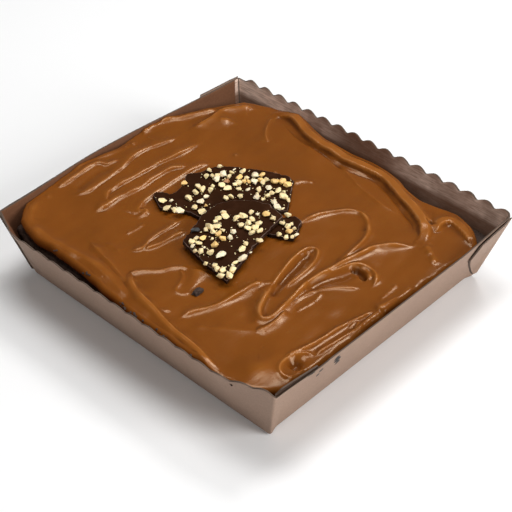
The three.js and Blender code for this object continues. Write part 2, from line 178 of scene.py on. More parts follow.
def wall_point(wall, f, z, outset):
    """The point at the place f and height z of a wall's outer face, moved outwards by outset, with the
    wall's bow, which grows in proportion to height, and less the tuck, which shrinks with it."""
    t = z / tray_height
    half_length, distance = half_sizes(wall, z)
    tuck = wall["tuck"] * (1 - t) * smooth((1 - np.abs(f)) / tuck_ramp)
    s = f * (half_length + outset)
    d = distance + wall["bow"] * bow_share(wall, f) * t - tuck + outset
    return np.stack([wall["along"][0] * s + wall["out"][0] * d, wall["along"][1] * s + wall["out"][1] * d,
                     z + 0 * s], -1)


def wall_ring(share, rise, outset, straight_steps=straight_steps):
    """A ring of points round all four walls, at that share of the rim's height plus the rise, moved
    outwards by outset. Every corner is rounded by a quadratic curve whose control point is its tip."""
    ring = []
    names = list(walls)
    for index, name in enumerate(names):
        wall, following = walls[name], walls[names[(index + 1) % 4]]
        steps = scalloped_steps if wall["scallops"] else straight_steps
        tip, start, end, stretch = [
            wall_point(side, f, share * rim_height(side, f) + rise, outset)
            for side, f in [(wall, np.array([1.0])), (wall, np.array([wall_reach])),
                            (following, np.array([-wall_reach])),
                            (wall, np.linspace(-wall_reach, wall_reach, steps + 1))]
        ]
        t = np.linspace(0, 1, corner_points + 2)[1:-1, None]
        ring += [stretch, (1 - t) ** 2 * start + 2 * t * (1 - t) * tip + t ** 2 * end]
    return np.concatenate(ring)


def ring_faces(number):
    """Quads between each row of numbered points and the next, where every row is a closed ring. They
    face out when the rings run anticlockwise from below to above on the outside."""
    after = np.roll(number, -1, 1)
    return np.stack([number[:-1], after[:-1], after[1:], number[1:]], -1).reshape(-1, 4)


def grid_faces(number):
    """Quads between the points of a numbered grid."""
    return np.stack([number[:-1, :-1], number[1:, :-1], number[1:, 1:], number[:-1, 1:]],
                    -1).reshape(-1, 4)


def grid_outline(number):
    """The numbers round the edge of a numbered grid: its first row, last column, last row and first
    column in turn."""
    return np.concatenate([number[0, :-1], number[:-1, -1], number[-1, :0:-1], number[:0:-1, 0]])


def mesh_piece(name, points, faces, materials, face_material=None, smooth_shading=True):
    """A mesh object at the origin from an array of points and an array or list of faces."""
    mesh = bpy.data.meshes.new(name)
    mesh.from_pydata(np.asarray(points).tolist(), [], [list(map(int, face)) for face in faces])
    for material in materials:
        mesh.materials.append(material)
    if face_material is not None:
        mesh.polygons.foreach_set("material_index", np.asarray(face_material, np.int32))
    mesh.polygons.foreach_set("use_smooth", np.full(len(mesh.polygons), smooth_shading))
    mesh.update()
    piece = bpy.data.objects.new(name, mesh)
    bpy.context.scene.collection.objects.link(piece)
    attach(piece, "root")
    return piece


def closed_shell(name, rings, materials, kinds=None, smooth_shading=True):
    """A piece whose side runs through the rings of points in turn, closed by a flat face at each end."""
    points = np.concatenate(rings)
    number = np.arange(len(points)).reshape(len(rings), -1)
    faces = ring_faces(number).tolist() + [number[0, ::-1].tolist(), number[-1].tolist()]
    return mesh_piece(name, points, faces, materials, kinds, smooth_shading)


class Paint:
    """A material whose surface is built up from nodes. Each call adds one node, fed with numbers or
    with what earlier calls gave back, and gives back what that node puts out."""

    def __init__(self, name):
        """An empty material, and the place on the piece at which its textures are read."""
        self.material = bpy.data.materials.new(name)
        self.material.use_nodes = True
        self.tree = self.material.node_tree
        self.place = self.node("TexCoord", {}).outputs["Object"]

    def feed(self, node, inputs):
        """The node, with each input set to the number, or linked to the output, that is given for it."""
        for socket, value in inputs.items():
            if isinstance(value, bpy.types.NodeSocket):
                self.tree.links.new(value, node.inputs[socket])
            else:
                node.inputs[socket].default_value = value
        return node

    def node(self, kind, inputs):
        """A new node of that kind, fed with those inputs."""
        return self.feed(self.tree.nodes.new("ShaderNode" + kind), inputs)

    def math(self, operation, *values):
        """The result of that operation on the values."""
        node = self.node("Math", dict(enumerate(values)))
        node.operation = operation
        return node.outputs["Value"]

    def mix(self, base, over, share, blend="MIX"):
        """The base colour with the share of the other colour blended over it."""
        node = self.node("Mix", {})
        node.data_type = "RGBA"
        node.blend_type = blend
        return self.feed(node, {"A": base, "B": over, "Factor": share}).outputs["Result"]

    def ramp(self, value, low, high, bottom=0, top=1):
        """bottom until the value reaches low, top once it has reached high, in proportion between."""
        return self.node("MapRange", {"Value": value, "From Min": low, "From Max": high, "To Min": bottom,
                                      "To Max": top}).outputs["Result"]

    def noise(self, scale, detail, place=None, distortion=0):
        """Soft noise between 0 and 1, of that scale, detail and distortion."""
        place = self.place if place is None else place
        return self.node("TexNoise", {"Vector": place, "Scale": scale, "Detail": detail,
                                      "Distortion": distortion}).outputs["Fac"]

    def measure(self, name, output):
        """A value stored on the piece's points under that name."""
        node = self.node("Attribute", {})
        node.attribute_name = name
        return node.outputs[output]

    def done(self, colour, height, strength, depth, inputs):
        """The finished material: its colour, a bump of that height, strength and depth, and the rest of
        the surface's inputs."""
        bump = self.node("Bump", {"Height": height, "Strength": strength, "Distance": depth})
        self.feed(self.tree.nodes["Principled BSDF"],
                  {"Base Color": colour, "Normal": bump.outputs["Normal"], **inputs})
        return self.material


def board_material(name, base, mottle, fibre_bump, scuff=None, marks=(), shine=0.5):
    """Matt board: a base colour mottled by soft clouds and fine fibres, which also make its bump.
    scuff, where given, is the colour of a streaky rubbed band on the right wall below its scallops,
    strongest towards the wall's ends, and marks are the share along the front wall, height and radius of
    small dark tears."""
    paint = Paint(name)
    clouds = paint.noise(45, 5)
    fibres = paint.noise(900, 4)
    colour = paint.mix(paint.mix((*base, 1), (*mottle, 1), clouds), fibres, 0.25, "OVERLAY")
    if scuff:
        along_wall = paint.node("Mapping", {"Vector": paint.place, "Scale": (140, 140, 1500)})
        streaks = paint.noise(1, 6, along_wall.outputs["Vector"])
        place = paint.node("SeparateXYZ", {"Vector": paint.place}).outputs
        from_middle = paint.math("ABSOLUTE", place["Y"])
        past_corner = paint.math("SUBTRACT", place["X"], from_middle)
        share = paint.ramp(from_middle, 0.010, 0.045, bottom=0.15)
        for part in [paint.ramp(past_corner, -0.0114, -0.0104), paint.ramp(place["Z"], 0.0315, 0.0345, 0.15),
                     paint.ramp(streaks, 0.34, 0.60, 0.55), paint.ramp(place["Z"], 0.0425, 0.0400, 0.3),
                     paint.ramp(clouds, 0.42, 0.58, 0.5)]:
            share = paint.math("MULTIPLY", share, part)
        colour = paint.mix(colour, (*scuff, 1), share)
    for share_along, height, radius in marks:
        middle = wall_point(walls["front"], np.float64(share_along), height, 0)
        distance = paint.node("VectorMath", {0: paint.place, 1: middle})
        distance.operation = "DISTANCE"
        ragged = paint.math("MULTIPLY_ADD", fibres, 0.0024, distance.outputs["Value"])
        torn = paint.ramp(ragged, radius + 0.0014, radius + 0.0010)
        colour = paint.mix(colour, (0.018, 0.011, 0.008, 1), torn)
    return paint.done(colour, fibres, 0.3, fibre_bump, {"Roughness": 0.7, "Specular IOR Level": shine})


board_outside = board_material("board_outside", (0.262, 0.166, 0.118), (0.323, 0.210, 0.147), 0.0001, marks=[
    (-0.530, 0.0350, 0.0018), (-0.515, 0.0320, 0.0022), (-0.500, 0.0285, 0.0018), (-0.650, 0.0340, 0.0014),
    (-0.665, 0.0310, 0.0012), (-0.720, 0.0390, 0.0018), (-0.745, 0.0390, 0.0012),
])
board_inside = board_material("board_inside", (0.120, 0.052, 0.027), (0.165, 0.074, 0.038), 0.0001,
                              scuff=(0.86, 0.65, 0.53), shine=0.05)
# The tail tucked inside the front left corner: the board's dark inside, painted much darker as the shade in
# the gap by the front wall.
shaded_tail_inside = board_material("shaded_tail_inside", (0.032, 0.015, 0.008), (0.055, 0.028, 0.016), 0.0002, shine=0.1)
# The dark core shown by the cut edges, also painted into the corner creases as shade.
core_and_crease_shade = board_material("core_and_crease_shade", (0.06, 0.035, 0.022), (0.11, 0.07, 0.045), 0.0002)


# The board's section: under the foot and up the outer face, over the cut rim, and down the inner face
# to the floor. Each place has its share of the rim's height, its rise above that and its outset.
shares = np.linspace(0.08, 0.96, 12)
outer_face = [(0, 0, -0.0010), (0, 0.00025, -0.0004), (0, 0.0010, 0)] + [(share, 0, 0) for share in shares]
cut_rim = [(1, -0.0001, 0), (1, 0, -0.0001), (1, 0, -board + 0.0001), (1, -0.0001, -board)]
inner_face = [(share, 0, -board) for share in shares[::-1]]
inner_face += [(0, 0.0018, -board), (0, board, -board - 0.0012)]
tray_rings = [wall_ring(*place) for place in outer_face + cut_rim + inner_face]
rim_start = len(outer_face)
inner_start = rim_start + len(cut_rim) - 1
ring_of_face = np.repeat(np.arange(len(tray_rings) - 1), len(tray_rings[0]))
tray_face_material = np.where(ring_of_face < rim_start, 0, np.where(ring_of_face < inner_start, 2, 1))

# Painted shade: each inner corner's crease is dark too, on the middle two of the strips that round it.
past_wall = [np.arange(steps + corner_points + 1) - steps for steps in (straight_steps, scalloped_steps) * 2]
in_crease = np.tile(np.isin(np.concatenate(past_wall), (2, 3)), len(tray_rings) - 1)
tray_face_material[in_crease & (ring_of_face >= inner_start)] = 2
tray_shell = closed_shell("tray_shell", tray_rings, [board_outside, board_inside, core_and_crease_shade],
                          tray_face_material.tolist() + [0, 1])
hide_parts("tray")


# The glued tails. Each starts at the corner and tapers to nothing at the foot. top is its height at
# the corner and at its nose, crest a rise between them, spring how far it has come unstuck at the
# rim, side 1 outside the wall or -1 inside it, nose the share of the height at which it is longest,
# and trim how much shorter it is cut above the nose.
corner_tails = {
    "tail_front_right": dict(wall="front", end=1, width=0.027, top=(0.0403, 0.0381), crest=0, spring=0.0008,
                             side=1, nose=0.72, trim=0),
    "tail_back_right": dict(wall="back", end=-1, width=0.034, top=(0.0408, 0.0409), crest=0, spring=0.0006,
                            side=1, nose=0.8, trim=0.6),
    "tail_back_left": dict(wall="back", end=1, width=0.046, top=(0.0402, 0.0394), crest=0, spring=0.0006,
                           side=1, nose=0.8, trim=0.6),
    "tail_front_left": dict(wall="front", end=-1, width=0.031, top=(0.0408, 0.0406), crest=0.0024,
                            spring=0, side=-1, nose=0.8, trim=0.6),
}
tail_foot = 0.06
tail_set_back = 0.0004
glue_gap = 0.00002


def tail_sheet(tail, depth):
    """One face of a tail, a grid over the share of its length and the share of its height. It lies
    on the wall, offset by depth, and leans off it by the spring towards its upper free corner."""
    wall = walls[tail["wall"]]
    q, rise = np.meshgrid(np.linspace(0, 1, 25), np.linspace(tail_foot, 1, 25))
    top = tail["top"][0] + (tail["top"][1] - tail["top"][0]) * q
    z = rise * (top + tail["crest"] * smooth(q / 0.17) * (1 - q) ** 1.2)
    above_nose = np.maximum(0, rise - tail["nose"])
    length = tail["width"] * (np.minimum(1, rise / tail["nose"]) - tail["trim"] * above_nose)
    f = tail["end"] * (1 - (q * length + tail_set_back) / half_sizes(wall, z)[0])
    sprung = tail["spring"] * smooth((rise - 0.35) / 0.65) * smooth(q / 0.3)
    face = glue_gap if tail["side"] > 0 else -board - glue_gap
    return wall_point(wall, f, z, face + tail["side"] * (depth + sprung))


for name, tail in corner_tails.items():
    near, far = tail_sheet(tail, 0), tail_sheet(tail, board)
    number = np.arange(near[..., 0].size).reshape(near.shape[:2])
    sheet_faces, outline = grid_faces(number), grid_outline(number)
    edge_faces = ring_faces(np.stack([outline, outline + number.size]))
    faces = np.concatenate([sheet_faces, sheet_faces[:, ::-1] + number.size, edge_faces])
    if tail["end"] * tail["side"] > 0:
        faces = faces[:, ::-1]
    kinds = np.concatenate([np.zeros(2 * len(sheet_faces)), np.ones(len(edge_faces))])
    # A tail inside a wall is painted with shade.
    paper = board_outside if tail["side"] > 0 else shaded_tail_inside
    points = np.concatenate([near.reshape(-1, 3), far.reshape(-1, 3)])
    piece = mesh_piece(name, points, faces, [paper, core_and_crease_shade], kinds, smooth_shading=False)
    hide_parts("tray")

# ---------------------------------------------------------------- brownie slab
# A dense chocolate sponge baked in the tray, drawn in a little from the board as it cooled. Its
# crust is cracked and crumbly where it shows between the icing and the walls.

brownie_clearance = 0.0009
brownie_foot = board + 0.0004
brownie_top_middle = 0.0290
brownie_slope = (-0.014, 0.012)
tail_room_end = -0.045


def uneven(x, y, wavelength, seed):
    """Smooth unevenness mostly between -1 and 1: twice the mean of nine sine waves, each 0.7 to 1.4
    times the wavelength long, whose directions, phases and lengths come from the seed."""
    chance = np.random.default_rng(seed)
    total = 0 * x
    for _ in range(9):
        heading, phase = chance.uniform(0, 2 * np.pi, 2)
        rate = 2 * np.pi / (wavelength * chance.uniform(0.7, 1.4))
        total = total + np.sin(rate * (x * np.cos(heading) + y * np.sin(heading)) + phase)
    return total / 4.5


def brownie_top(x, y):
    """A plane that falls towards the front right corner."""
    return brownie_top_middle + brownie_slope[0] * x + brownie_slope[1] * y


def wall_limit(wall, place, z):
    """How far out the inner face of a wall stands at a place along it and a height."""
    f = np.clip(place / half_sizes(wall, z)[0], -1, 1)
    return wall_point(wall, f, z, -board)[..., :2] @ wall["out"]


def keep_inside(x, y, z, gap):
    """The points moved in, where they must be, to stay that gap clear of the four walls and of the
    tail glued inside the front wall."""
    tail_room = smooth((tail_room_end - x) / 0.008) * board
    x = np.clip(x, gap - wall_limit(walls["left"], -y, z), wall_limit(walls["right"], y, z) - gap)
    y = np.clip(y, gap + tail_room - wall_limit(walls["front"], x, z), wall_limit(walls["back"], -x, z) - gap)
    return np.stack([x, y, z], -1)


def brownie_ring(below, inset, roughness, seed):
    """A ring of the slab at a depth below its top and an inset from the board, roughened by crumb: by
    as much up or down, and by eight times as much out for each metre from the middle."""
    flat = wall_ring(0, brownie_top_middle - below, -board - brownie_clearance - inset, straight_steps=200)
    x, y = flat[:, 0], flat[:, 1]
    crumb = roughness * (uneven(x, y, 0.004, seed) + 0.6 * uneven(x, y, 0.0016, seed + 1))
    z = brownie_top(x, y) - below + crumb
    return keep_inside(x * (1 + 8 * crumb), y * (1 + 8 * crumb), z, brownie_clearance)


# The slab's rings from its foot to near the middle of its top: depth, inset and roughness.
brownie_levels = [
    (0.0262, 0, 0), (0.018, 0, 0.0001), (0.010, 0, 0.0002), (0.006, 0, 0.0003), (0.0035, 0, 0.0003),
    (0.0022, 0.0004, 0.00035), (0.0012, 0.0010, 0.0004), (0.0004, 0.0018, 0.0004), (0, 0.0030, 0.0004),
    (0, 0.0045, 0.0004), (0, 0.0065, 0.0003), (0, 0.0090, 0.0002), (0.0003, 0.014, 0),
]
brownie_rings = [brownie_ring(*level, seed=40 + k) for k, level in enumerate(brownie_levels)]
brownie_rings[0][:, 2] = brownie_foot

# Cake crumb: two browns mixed by a coarse noise, pitted by a bump of open cells.
crumb = Paint("brownie_crumb")
crumb_colour = crumb.mix((0.016, 0.008, 0.005, 1), (0.06, 0.028, 0.016, 1), crumb.noise(420, 6))
crumb_cells = crumb.node("TexVoronoi", {"Vector": crumb.place, "Scale": 700}).outputs["Distance"]
brownie_crumb = crumb.done(crumb_colour, crumb_cells, 0.8, 0.0006, {"Roughness": 0.8})

brownie_slab = closed_shell("brownie_slab", brownie_rings, [brownie_crumb])
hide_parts("brownie")

# ---------------------------------------------------------------- caramel icing
# Thick cooked caramel, poured on and pushed about with a palette knife until it nearly reached the
# board. The knife left flat strokes with thin turned-up crests, folds and pockets between them, and
# the free edge stands as a rounded roll.

# The icing's edge from above in millimetres, one stretch a side, anticlockwise from the front left.
icing_edge = [
    [(-89, -88), (-82, -94), (-60, -95), (-20, -95.5), (30, -95.5), (60, -95.5), (69, -93.5)],
    [(69, -93.5), (77, -84), (82, -72), (80, -60), (77.5, -50), (79, -38), (84, -25), (86, -12), (83.5, 4),
        (82, 20), (85, 32), (89, 45), (89, 58), (86.5, 71), (80, 84)],
    [(80, 84), (65, 90), (47, 94.5), (32, 101), (10, 101.5), (-8, 99), (-28, 102), (-50, 101), (-70, 98),
        (-76, 95.5), (-84, 88)],
    [(-84, 88), (-88, 74), (-87.5, 56), (-88, 38), (-90.5, 15), (-92.8, -10), (-94, -35), (-94.8, -50),
        (-95, -65), (-93.5, -78), (-89, -88)],
]
icing_steps = 280
icing_roll = 0.0032
icing_gap = 0.0003
icing_foot_rise = 0.0007

# How high the icing is spread before its ridges, in millimetres: rows from front to back.
spread_rows = np.array([
    [37, 36, 35.5, 31.5],
    [37, 35.6, 35.5, 33],
    [36.8, 35.7, 35.6, 35.5],
    [37, 39, 38.8, 34.5],
])

# Crests that the knife turned up, in millimetres: rise, width on the left and on the right of the way
# the crest runs, half the width of its flat top, and its route.
crests = [
    # strokes along the back wall
    (1.1, 4.5, 0.9, 0, [(-52, 83), (-43.5, 79.5), (-35.5, 80), (-22.5, 81.5), (-17, 82), (-7, 85),
        (3.5, 85.5), (12, 83.5), (19, 81.5), (25.5, 81.5)]),
    (1.1, 2.5, 0.8, 0, [(-54.5, 95), (-49.5, 94), (-37, 94.5), (-25, 95), (-21, 90), (-12, 87.5)]),
    (0.8, 2.0, 1.5, 0, [(-40, 99), (-31, 99.5), (-23.5, 98.5), (-15, 96.5), (-7, 95), (2, 94.5)]),
    (0.5, 0.9, 0.9, 0, [(11.5, 94), (13, 88.5), (14.5, 82)]),
    (1.6, 2.2, 2.0, 0.3, [(11, 96), (17, 99.5), (26, 99.5), (33, 97), (37, 94), (45, 91), (54.5, 87.5),
        (62, 84)]),
    (1.8, 1.6, 5.0, 0.4, [(35.5, 82), (41, 81), (50, 81), (56, 82.5), (61.5, 83.5), (68.5, 81), (75.5, 76.5),
        (78, 71)]),
    (1.3, 3.0, 4.0, 0.5, [(50, 81), (53.5, 77), (57, 72.5), (59, 69)]),
    # long strokes behind the chocolate
    (1.4, 5.0, 1.2, 0, [(-36.5, 64), (-40, 65.5), (-41.5, 67.5), (-37.5, 71), (-32, 72), (-24, 72),
        (-13, 71.5), (-0.5, 71.5), (10, 70), (19.5, 69), (29.5, 69)]),
    (1.5, 4.5, 1.3, 0, [(-54, 65), (-45, 64), (-37.5, 64.5), (-31, 64), (-23.5, 63), (-20, 63), (-10.5, 64),
        (0.5, 63.5), (6.5, 60), (13, 58)]),
    (1.4, 4.5, 1.2, 0, [(-42.5, 47), (-39.5, 45.5), (-34.5, 45), (-32.5, 47), (-35.5, 49.5), (-32, 51.5),
        (-28, 53), (-20.5, 54), (-10.5, 54.5), (-3, 55), (5, 55), (12, 54.5), (22.5, 52)]),
    (0.6, 1.5, 0.9, 0, [(-53.5, 40.5), (-47.5, 39.5), (-40.5, 39.5)]),
    (1.1, 3.0, 0.8, 0, [(-61.5, 29), (-57, 25.5), (-53, 25.5), (-48.5, 27), (-41.5, 27.5), (-33.5, 27),
        (-25.5, 27.5)]),
    (1.3, 3.0, 1.2, 0, [(-57, 24.5), (-48.5, 21.5), (-38, 20), (-29.5, 18.5)]),
    (0.5, 2.5, 2.5, 0, [(-66, 43), (-64.5, 36), (-66, 30)]),
    # the roll along the left wall and the two folds that branch off it
    (1.6, 4.0, 4.0, 1.0, [(-64, 95), (-74.5, 90), (-80, 84.5), (-83.5, 77), (-84.5, 68), (-83.5, 58),
        (-82.5, 46), (-81, 36), (-82, 24), (-84, 10), (-86, -2)]),
    (1.3, 2.6, 3.0, 0, [(-70, 50), (-72.5, 39.5), (-75, 28), (-78, 15.5), (-81.5, 3), (-84.5, -8.5),
        (-87, -18), (-89, -27.5)]),
    (2.2, 1.5, 3.2, 0.8, [(-71.5, 15.5), (-75.5, 13), (-79.5, 6), (-82.5, -3), (-84, -12), (-86, -20.5),
        (-88, -30.5), (-89, -41), (-90, -49.5), (-91.5, -57), (-91.5, -66)]),
    (1.2, 1.1, 1.7, 0, [(-75, 14.5), (-72.5, 15), (-68.5, 13), (-63, 7), (-60, 5), (-56, 3.5), (-52, 0),
        (-50.5, -4.5)]),
    (0.6, 1.2, 1.0, 0, [(-54.5, 0.5), (-55.5, -4), (-61, -8), (-66.5, -10.5), (-66.5, -14.5), (-62, -17)]),
    (1.6, 1.2, 8.0, 0, [(-51.5, -1), (-49, -7), (-47, -12.5), (-46.5, -18)]),
    (0.7, 1.0, 1.4, 0, [(-83.5, -13), (-81, -16.5), (-78.5, -20)]),
    (1.5, 2.5, 1.9, 0, [(-79.5, -26), (-73, -27.5), (-65.5, -31), (-59, -33), (-50.5, -34), (-41.5, -34.5),
        (-35.5, -35.5), (-30, -38)]),
    (0.4, 1.6, 2.6, 0, [(-80.5, -34.5), (-78, -37), (-72.5, -44.5), (-65, -53.5), (-59.5, -59),
        (-53.5, -62.5), (-43.5, -63)]),
    # the fold that runs round the loop in front of the chocolate and on to the right
    (1.9, 2.3, 1.5, 0.2, [(45.5, -73), (41, -71.5), (37, -67), (31, -61.5), (26, -59), (19, -58), (11, -56),
        (1.5, -54.5), (-9, -53.5), (-19.5, -53), (-31, -55), (-38.5, -56.5), (-45.5, -57.5), (-50, -57),
        (-52, -54), (-48.5, -49.5), (-42, -46), (-35, -43.5), (-30, -41), (-31.5, -38), (-36, -35.5)]),
    (1.4, 1.3, 1.3, 0, [(-41.5, -46.5), (-37.5, -44), (-28.5, -41), (-20.5, -38.5), (-13.5, -36.5),
        (-5, -35), (1.5, -35), (5, -37.5), (4, -41), (-1, -44), (-8, -46), (-16, -46.5), (-23.5, -46.5),
        (-31, -47)]),
    (1.4, 1.5, 1.2, 0, [(-19.5, -53), (-11, -53.5), (-2, -56), (5, -58.5), (10.5, -61.5), (12, -66),
        (12, -70), (10, -74), (6, -77), (2, -77.5)]),
    (0.7, 0.8, 0.8, 0.4, [(9.5, -64), (10, -67.5), (8.5, -71), (6, -73.5)]),
    (0.9, 1.2, 1.0, 0, [(-39.5, -58.5), (-32, -58), (-25, -58), (-16.5, -60.5), (-10, -65.5), (-6, -70),
        (-1.5, -74.5)]),
    (1.7, 1.0, 3.0, 0, [(-62, -58), (-55, -60.5), (-49, -61), (-43, -60), (-39, -58.5)]),
    (0.6, 1.0, 0.9, 0, [(-38, -63), (-32, -63.5), (-25.5, -64), (-17, -62.5)]),
    # the broad lobe right of the chocolate
    (1.4, 1.4, 1.5, 0.3, [(13.5, -18.5), (19.5, -19.5), (28, -21.5), (35.5, -25), (41.5, -29.5), (44, -35),
        (42, -41.5), (35.5, -48), (27.5, -51.5), (19.5, -53), (10.5, -53.5), (1.5, -53)]),
    (0.6, 1.4, 1.4, 0, [(70.5, 2), (67, -8), (63.5, -17), (60, -30.5), (58, -39), (58, -47)]),
    (0.7, 1.0, 1.4, 0, [(37.5, 6.5), (42, 6), (46.5, 2.5), (47, -0.5)]),
    # the thick roll pushed up along the right wall and the lobe at its end
    (0.7, 1.2, 1.2, 0, [(57, 43), (62, 49.5), (68.5, 54.5), (75, 58), (79, 59)]),
    (3.2, 3.2, 0.85, 2.0, [(77.5, 59.5), (82.5, 58.5), (85, 51), (82.5, 42), (78.5, 32.5), (76, 22),
        (76, 13), (75.5, 1.5), (76.5, -8), (77.5, -16), (77.5, -25), (74, -34.5), (70.5, -42.5), (67, -52),
        (63.5, -59.5), (59, -66), (52.5, -71), (45.5, -73)]),
    (2.2, 4.0, 1.2, 1.6, [(57, -71.5), (61, -71.5), (65.5, -70), (71, -70.5), (73.5, -74), (72.5, -79),
        (70, -86), (65.5, -94)]),
    (0.8, 2.2, 2.0, 0.6, [(47, -76), (44.5, -81), (41, -86), (36, -89.5)]),
    # strokes along the front wall
    (1.5, 1.1, 1.3, 0, [(-66, -80.5), (-58, -82.5), (-50.5, -84), (-40, -85), (-31, -85.5), (-25, -86.5),
        (-17.5, -88.5), (-9, -90.5)]),
    (1.3, 1.0, 1.1, 0, [(-54.5, -90), (-48.5, -90), (-40, -91), (-33.5, -91.5), (-25, -92.5), (-14.5, -92),
        (-7, -93)]),
    (0.9, 0.9, 0.9, 0, [(-28.5, -89), (-23.5, -88.5), (-22.5, -90), (-27, -91.5)]),
    (2.0, 2.4, 1.4, 0.3, [(-11, -91), (-2.5, -92.5), (6, -94), (12, -94.5), (17, -95)]),
    (0.6, 1.4, 1.4, 0, [(-4, -87.5), (3.5, -86.5), (13, -85.5)]),
    (1.2, 1.2, 1.1, 0, [(-54.5, -90.5), (-55, -86.5), (-59.5, -83.5), (-65, -82.5), (-70, -83.5),
        (-73.5, -86), (-74.5, -89.5), (-72.5, -92.5), (-68, -93.5), (-62, -93)]),
]

# Grooves and pockets between the crests, given in the same way, with their depth as a negative rise.
grooves = [
    (-1.6, 2.2, 2.2, 0.6, [(-39, -46), (-28, -43.5), (-16, -41.5), (-6, -39.5), (1, -38.5)]),
    (-1.3, 3.0, 3.0, 0.4, [(-22, -56), (-10, -58), (0, -62), (6, -66), (4.5, -72)]),
    (-3.2, 1.0, 1.6, 0.5, [(4, -61.5), (7, -63), (7.5, -66), (6, -69.5), (3.5, -72)]),
    (-0.4, 3.5, 3.5, 0, [(-40, -39.5), (-47, -42), (-54, -48), (-60, -55)]),
    (-0.8, 3.0, 3.0, 0, [(-49, 84), (-38, 87), (-28, 88), (-20, 86)]),
    (-0.6, 0.9, 0.9, 0, [(77.5, 52), (75, 44), (72.5, 33), (71.5, 22), (70.5, 10), (69, 0), (70.5, -10),
        (72.5, -20), (70, -31), (65.5, -41), (60.5, -52), (56.5, -60), (50, -66)]),
    (-2.4, 2.2, 2.2, 0.4, [(62, -66.5), (66, -66.5)]),
]

# Low swellings and drips: place, rise and radius, in millimetres.
swellings = [
    (54, 77, 0.9, 8), (36, 78, 0.6, 8), (-79, -80, 2.0, 10), (-64.2, -87.2, -3.4, 3.4), (46, -77, 0.5, 2.8),
    (42.5, -82, 0.5, 1.7), (39, -88, 0.2, 1.6), (50, -76.5, 0.4, 1.6), (36, 48, 0.6, 1.3),
    (39, 21, 0.5, 1.1), (-57, -10, 0.7, 8), (-61, 92.6, 0.5, 1.6), (2, 94.4, 0.9, 1.6), (55, -2, -0.8, 14),
    (-20, -75, -0.6, 18),
]

# Where the chocolate presses into the icing: its outlines from above, thickness, and underside, which
# rises by the lean along X and along Y.
shard_outlines = {
    "shard_back": [(16, -9.5), (24.5, -3.5), (32, 2), (38, 6.5), (39, 11), (36.8, 17), (33.5, 24.5),
        (29, 32), (24.5, 39), (20.5, 44), (14.5, 47.5), (9, 48), (3, 52.5), (0.5, 52), (-2.5, 49),
        (-7.5, 46.5), (-13, 45), (-16, 47), (-18, 51), (-20.5, 53), (-23.5, 51.5), (-28.5, 41), (-24, 34),
        (-20.5, 27), (-19.5, 19), (-8, 9), (6, -2)],
    "shard_right": [(-5, -14.5), (-3, -20), (0.8, -27), (6, -25.3), (15.2, -20.3), (15.5, -14), (8, -9.5),
        (1, -11)],
    "shard_front": [(-47.5, -26.5), (-35, -23.5), (-20.5, -18.8), (-7.5, -16), (8.5, -13), (10.5, -1),
        (7, 7), (0, 15), (-8, 19), (-20, 18.5), (-32, 14), (-41.5, 11), (-45.2, -8)],
}
shard_thickness = 0.0024
shard_lean = {"shard_back": 0.0, "shard_right": 0.0, "shard_front": 0.0283}
shard_lift = {"shard_back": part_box("shard_back")[0].z, "shard_right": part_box("shard_right")[0].z - 0.0003,
              "shard_front": 0.0396}
shard_bed = dict(x=-4, y=13, radius_x=50, radius_y=48, height=36.7)

# The icing is pressed to this far below the chocolate, and is let rise this far over this width round
# it, in millimetres.
press_gap = 0.12
press_rise = 6
press_width = 1.8


def resampled(line, spacing, extra=0):
    """Points at even steps along a line, as many as its length holds of the spacing and the extra
    ones, but three at least."""
    travelled = np.concatenate([[0], np.cumsum(np.hypot(*np.diff(line, axis=0).T))])
    even = np.linspace(0, travelled[-1], max(3, int(travelled[-1] / spacing) + extra))
    return np.stack([np.interp(even, travelled, line[:, axis]) for axis in (0, 1)], -1)


def curve_through(route, spacing):
    """A smooth line through the points of a route, as uniform Catmull-Rom spans: a cubic between two
    points whose slope at each is half the step between its neighbours. Its points are resampled to
    even steps of about spacing."""
    p = np.asarray(route, float)
    p = np.concatenate([[2 * p[0] - p[1]], p, [2 * p[-1] - p[-2]]])
    t = np.linspace(0, 1, 25)[:-1, None]
    spans = []
    for a, b, c, d in zip(p[:-3], p[1:-2], p[2:-1], p[3:]):
        spans.append(0.5 * (2 * b + (c - a) * t + (2 * a - 5 * b + 4 * c - d) * t ** 2
                            + (3 * b - a - 3 * c + d) * t ** 3))
    return resampled(np.concatenate(spans + [p[-2:-1]]), spacing, extra=1)


def crest_height(x, y, crest, sharpness):
    """The height that one crest adds at each place: its rise, falling off on either side as e to the
    minus the distance from its flat top in widths to the power of the sharpness. It fades and narrows
    at its ends, over 0.12 of its length or 1.6 times its width, whichever is more, and wavers."""
    rise, left, right, flat, route = crest
    line = curve_through(route, 1.0)
    reach = flat + 3 * max(left, right)
    close = ((x > line[:, 0].min() - reach) & (x < line[:, 0].max() + reach)
             & (y > line[:, 1].min() - reach) & (y < line[:, 1].max() + reach))
    near_x, near_y = x[close], y[close]
    nearest = np.full(near_x.shape, 1e9)
    side = np.zeros(near_x.shape)
    travelled = np.zeros(near_x.shape)
    for k, (start, step) in enumerate(zip(line[:-1], np.diff(line, axis=0))):
        share = np.clip(((near_x - start[0]) * step[0] + (near_y - start[1]) * step[1]) / (step @ step), 0, 1)
        dx = near_x - start[0] - share * step[0]
        dy = near_y - start[1] - share * step[1]
        distance = np.hypot(dx, dy)
        better = distance < nearest
        nearest = np.where(better, distance, nearest)
        turned = (step[0] * dy - step[1] * dx) / (np.hypot(*step) * np.maximum(distance, 0.01))
        side = np.where(better, turned, side)
        travelled = np.where(better, (k + share) / (len(line) - 1), travelled)
    ending = min(0.5, max(0.12, 1.6 * max(left, right) / (len(line) - 1)))
    fade = 0.1 + 0.9 * smooth(travelled / ending) * smooth((1 - travelled) / ending)
    width = (right + (left - right) * smooth(0.5 + 0.5 * side)) * (0.3 + 0.7 * fade)
    off = np.maximum(nearest - flat, 0) / width
    ragged = 1 + 0.12 * uneven(near_x, near_y, 13, seed=71)
    height = np.zeros(x.shape)
    height[close] = rise * fade * ragged * np.exp(-off ** sharpness)
    return height


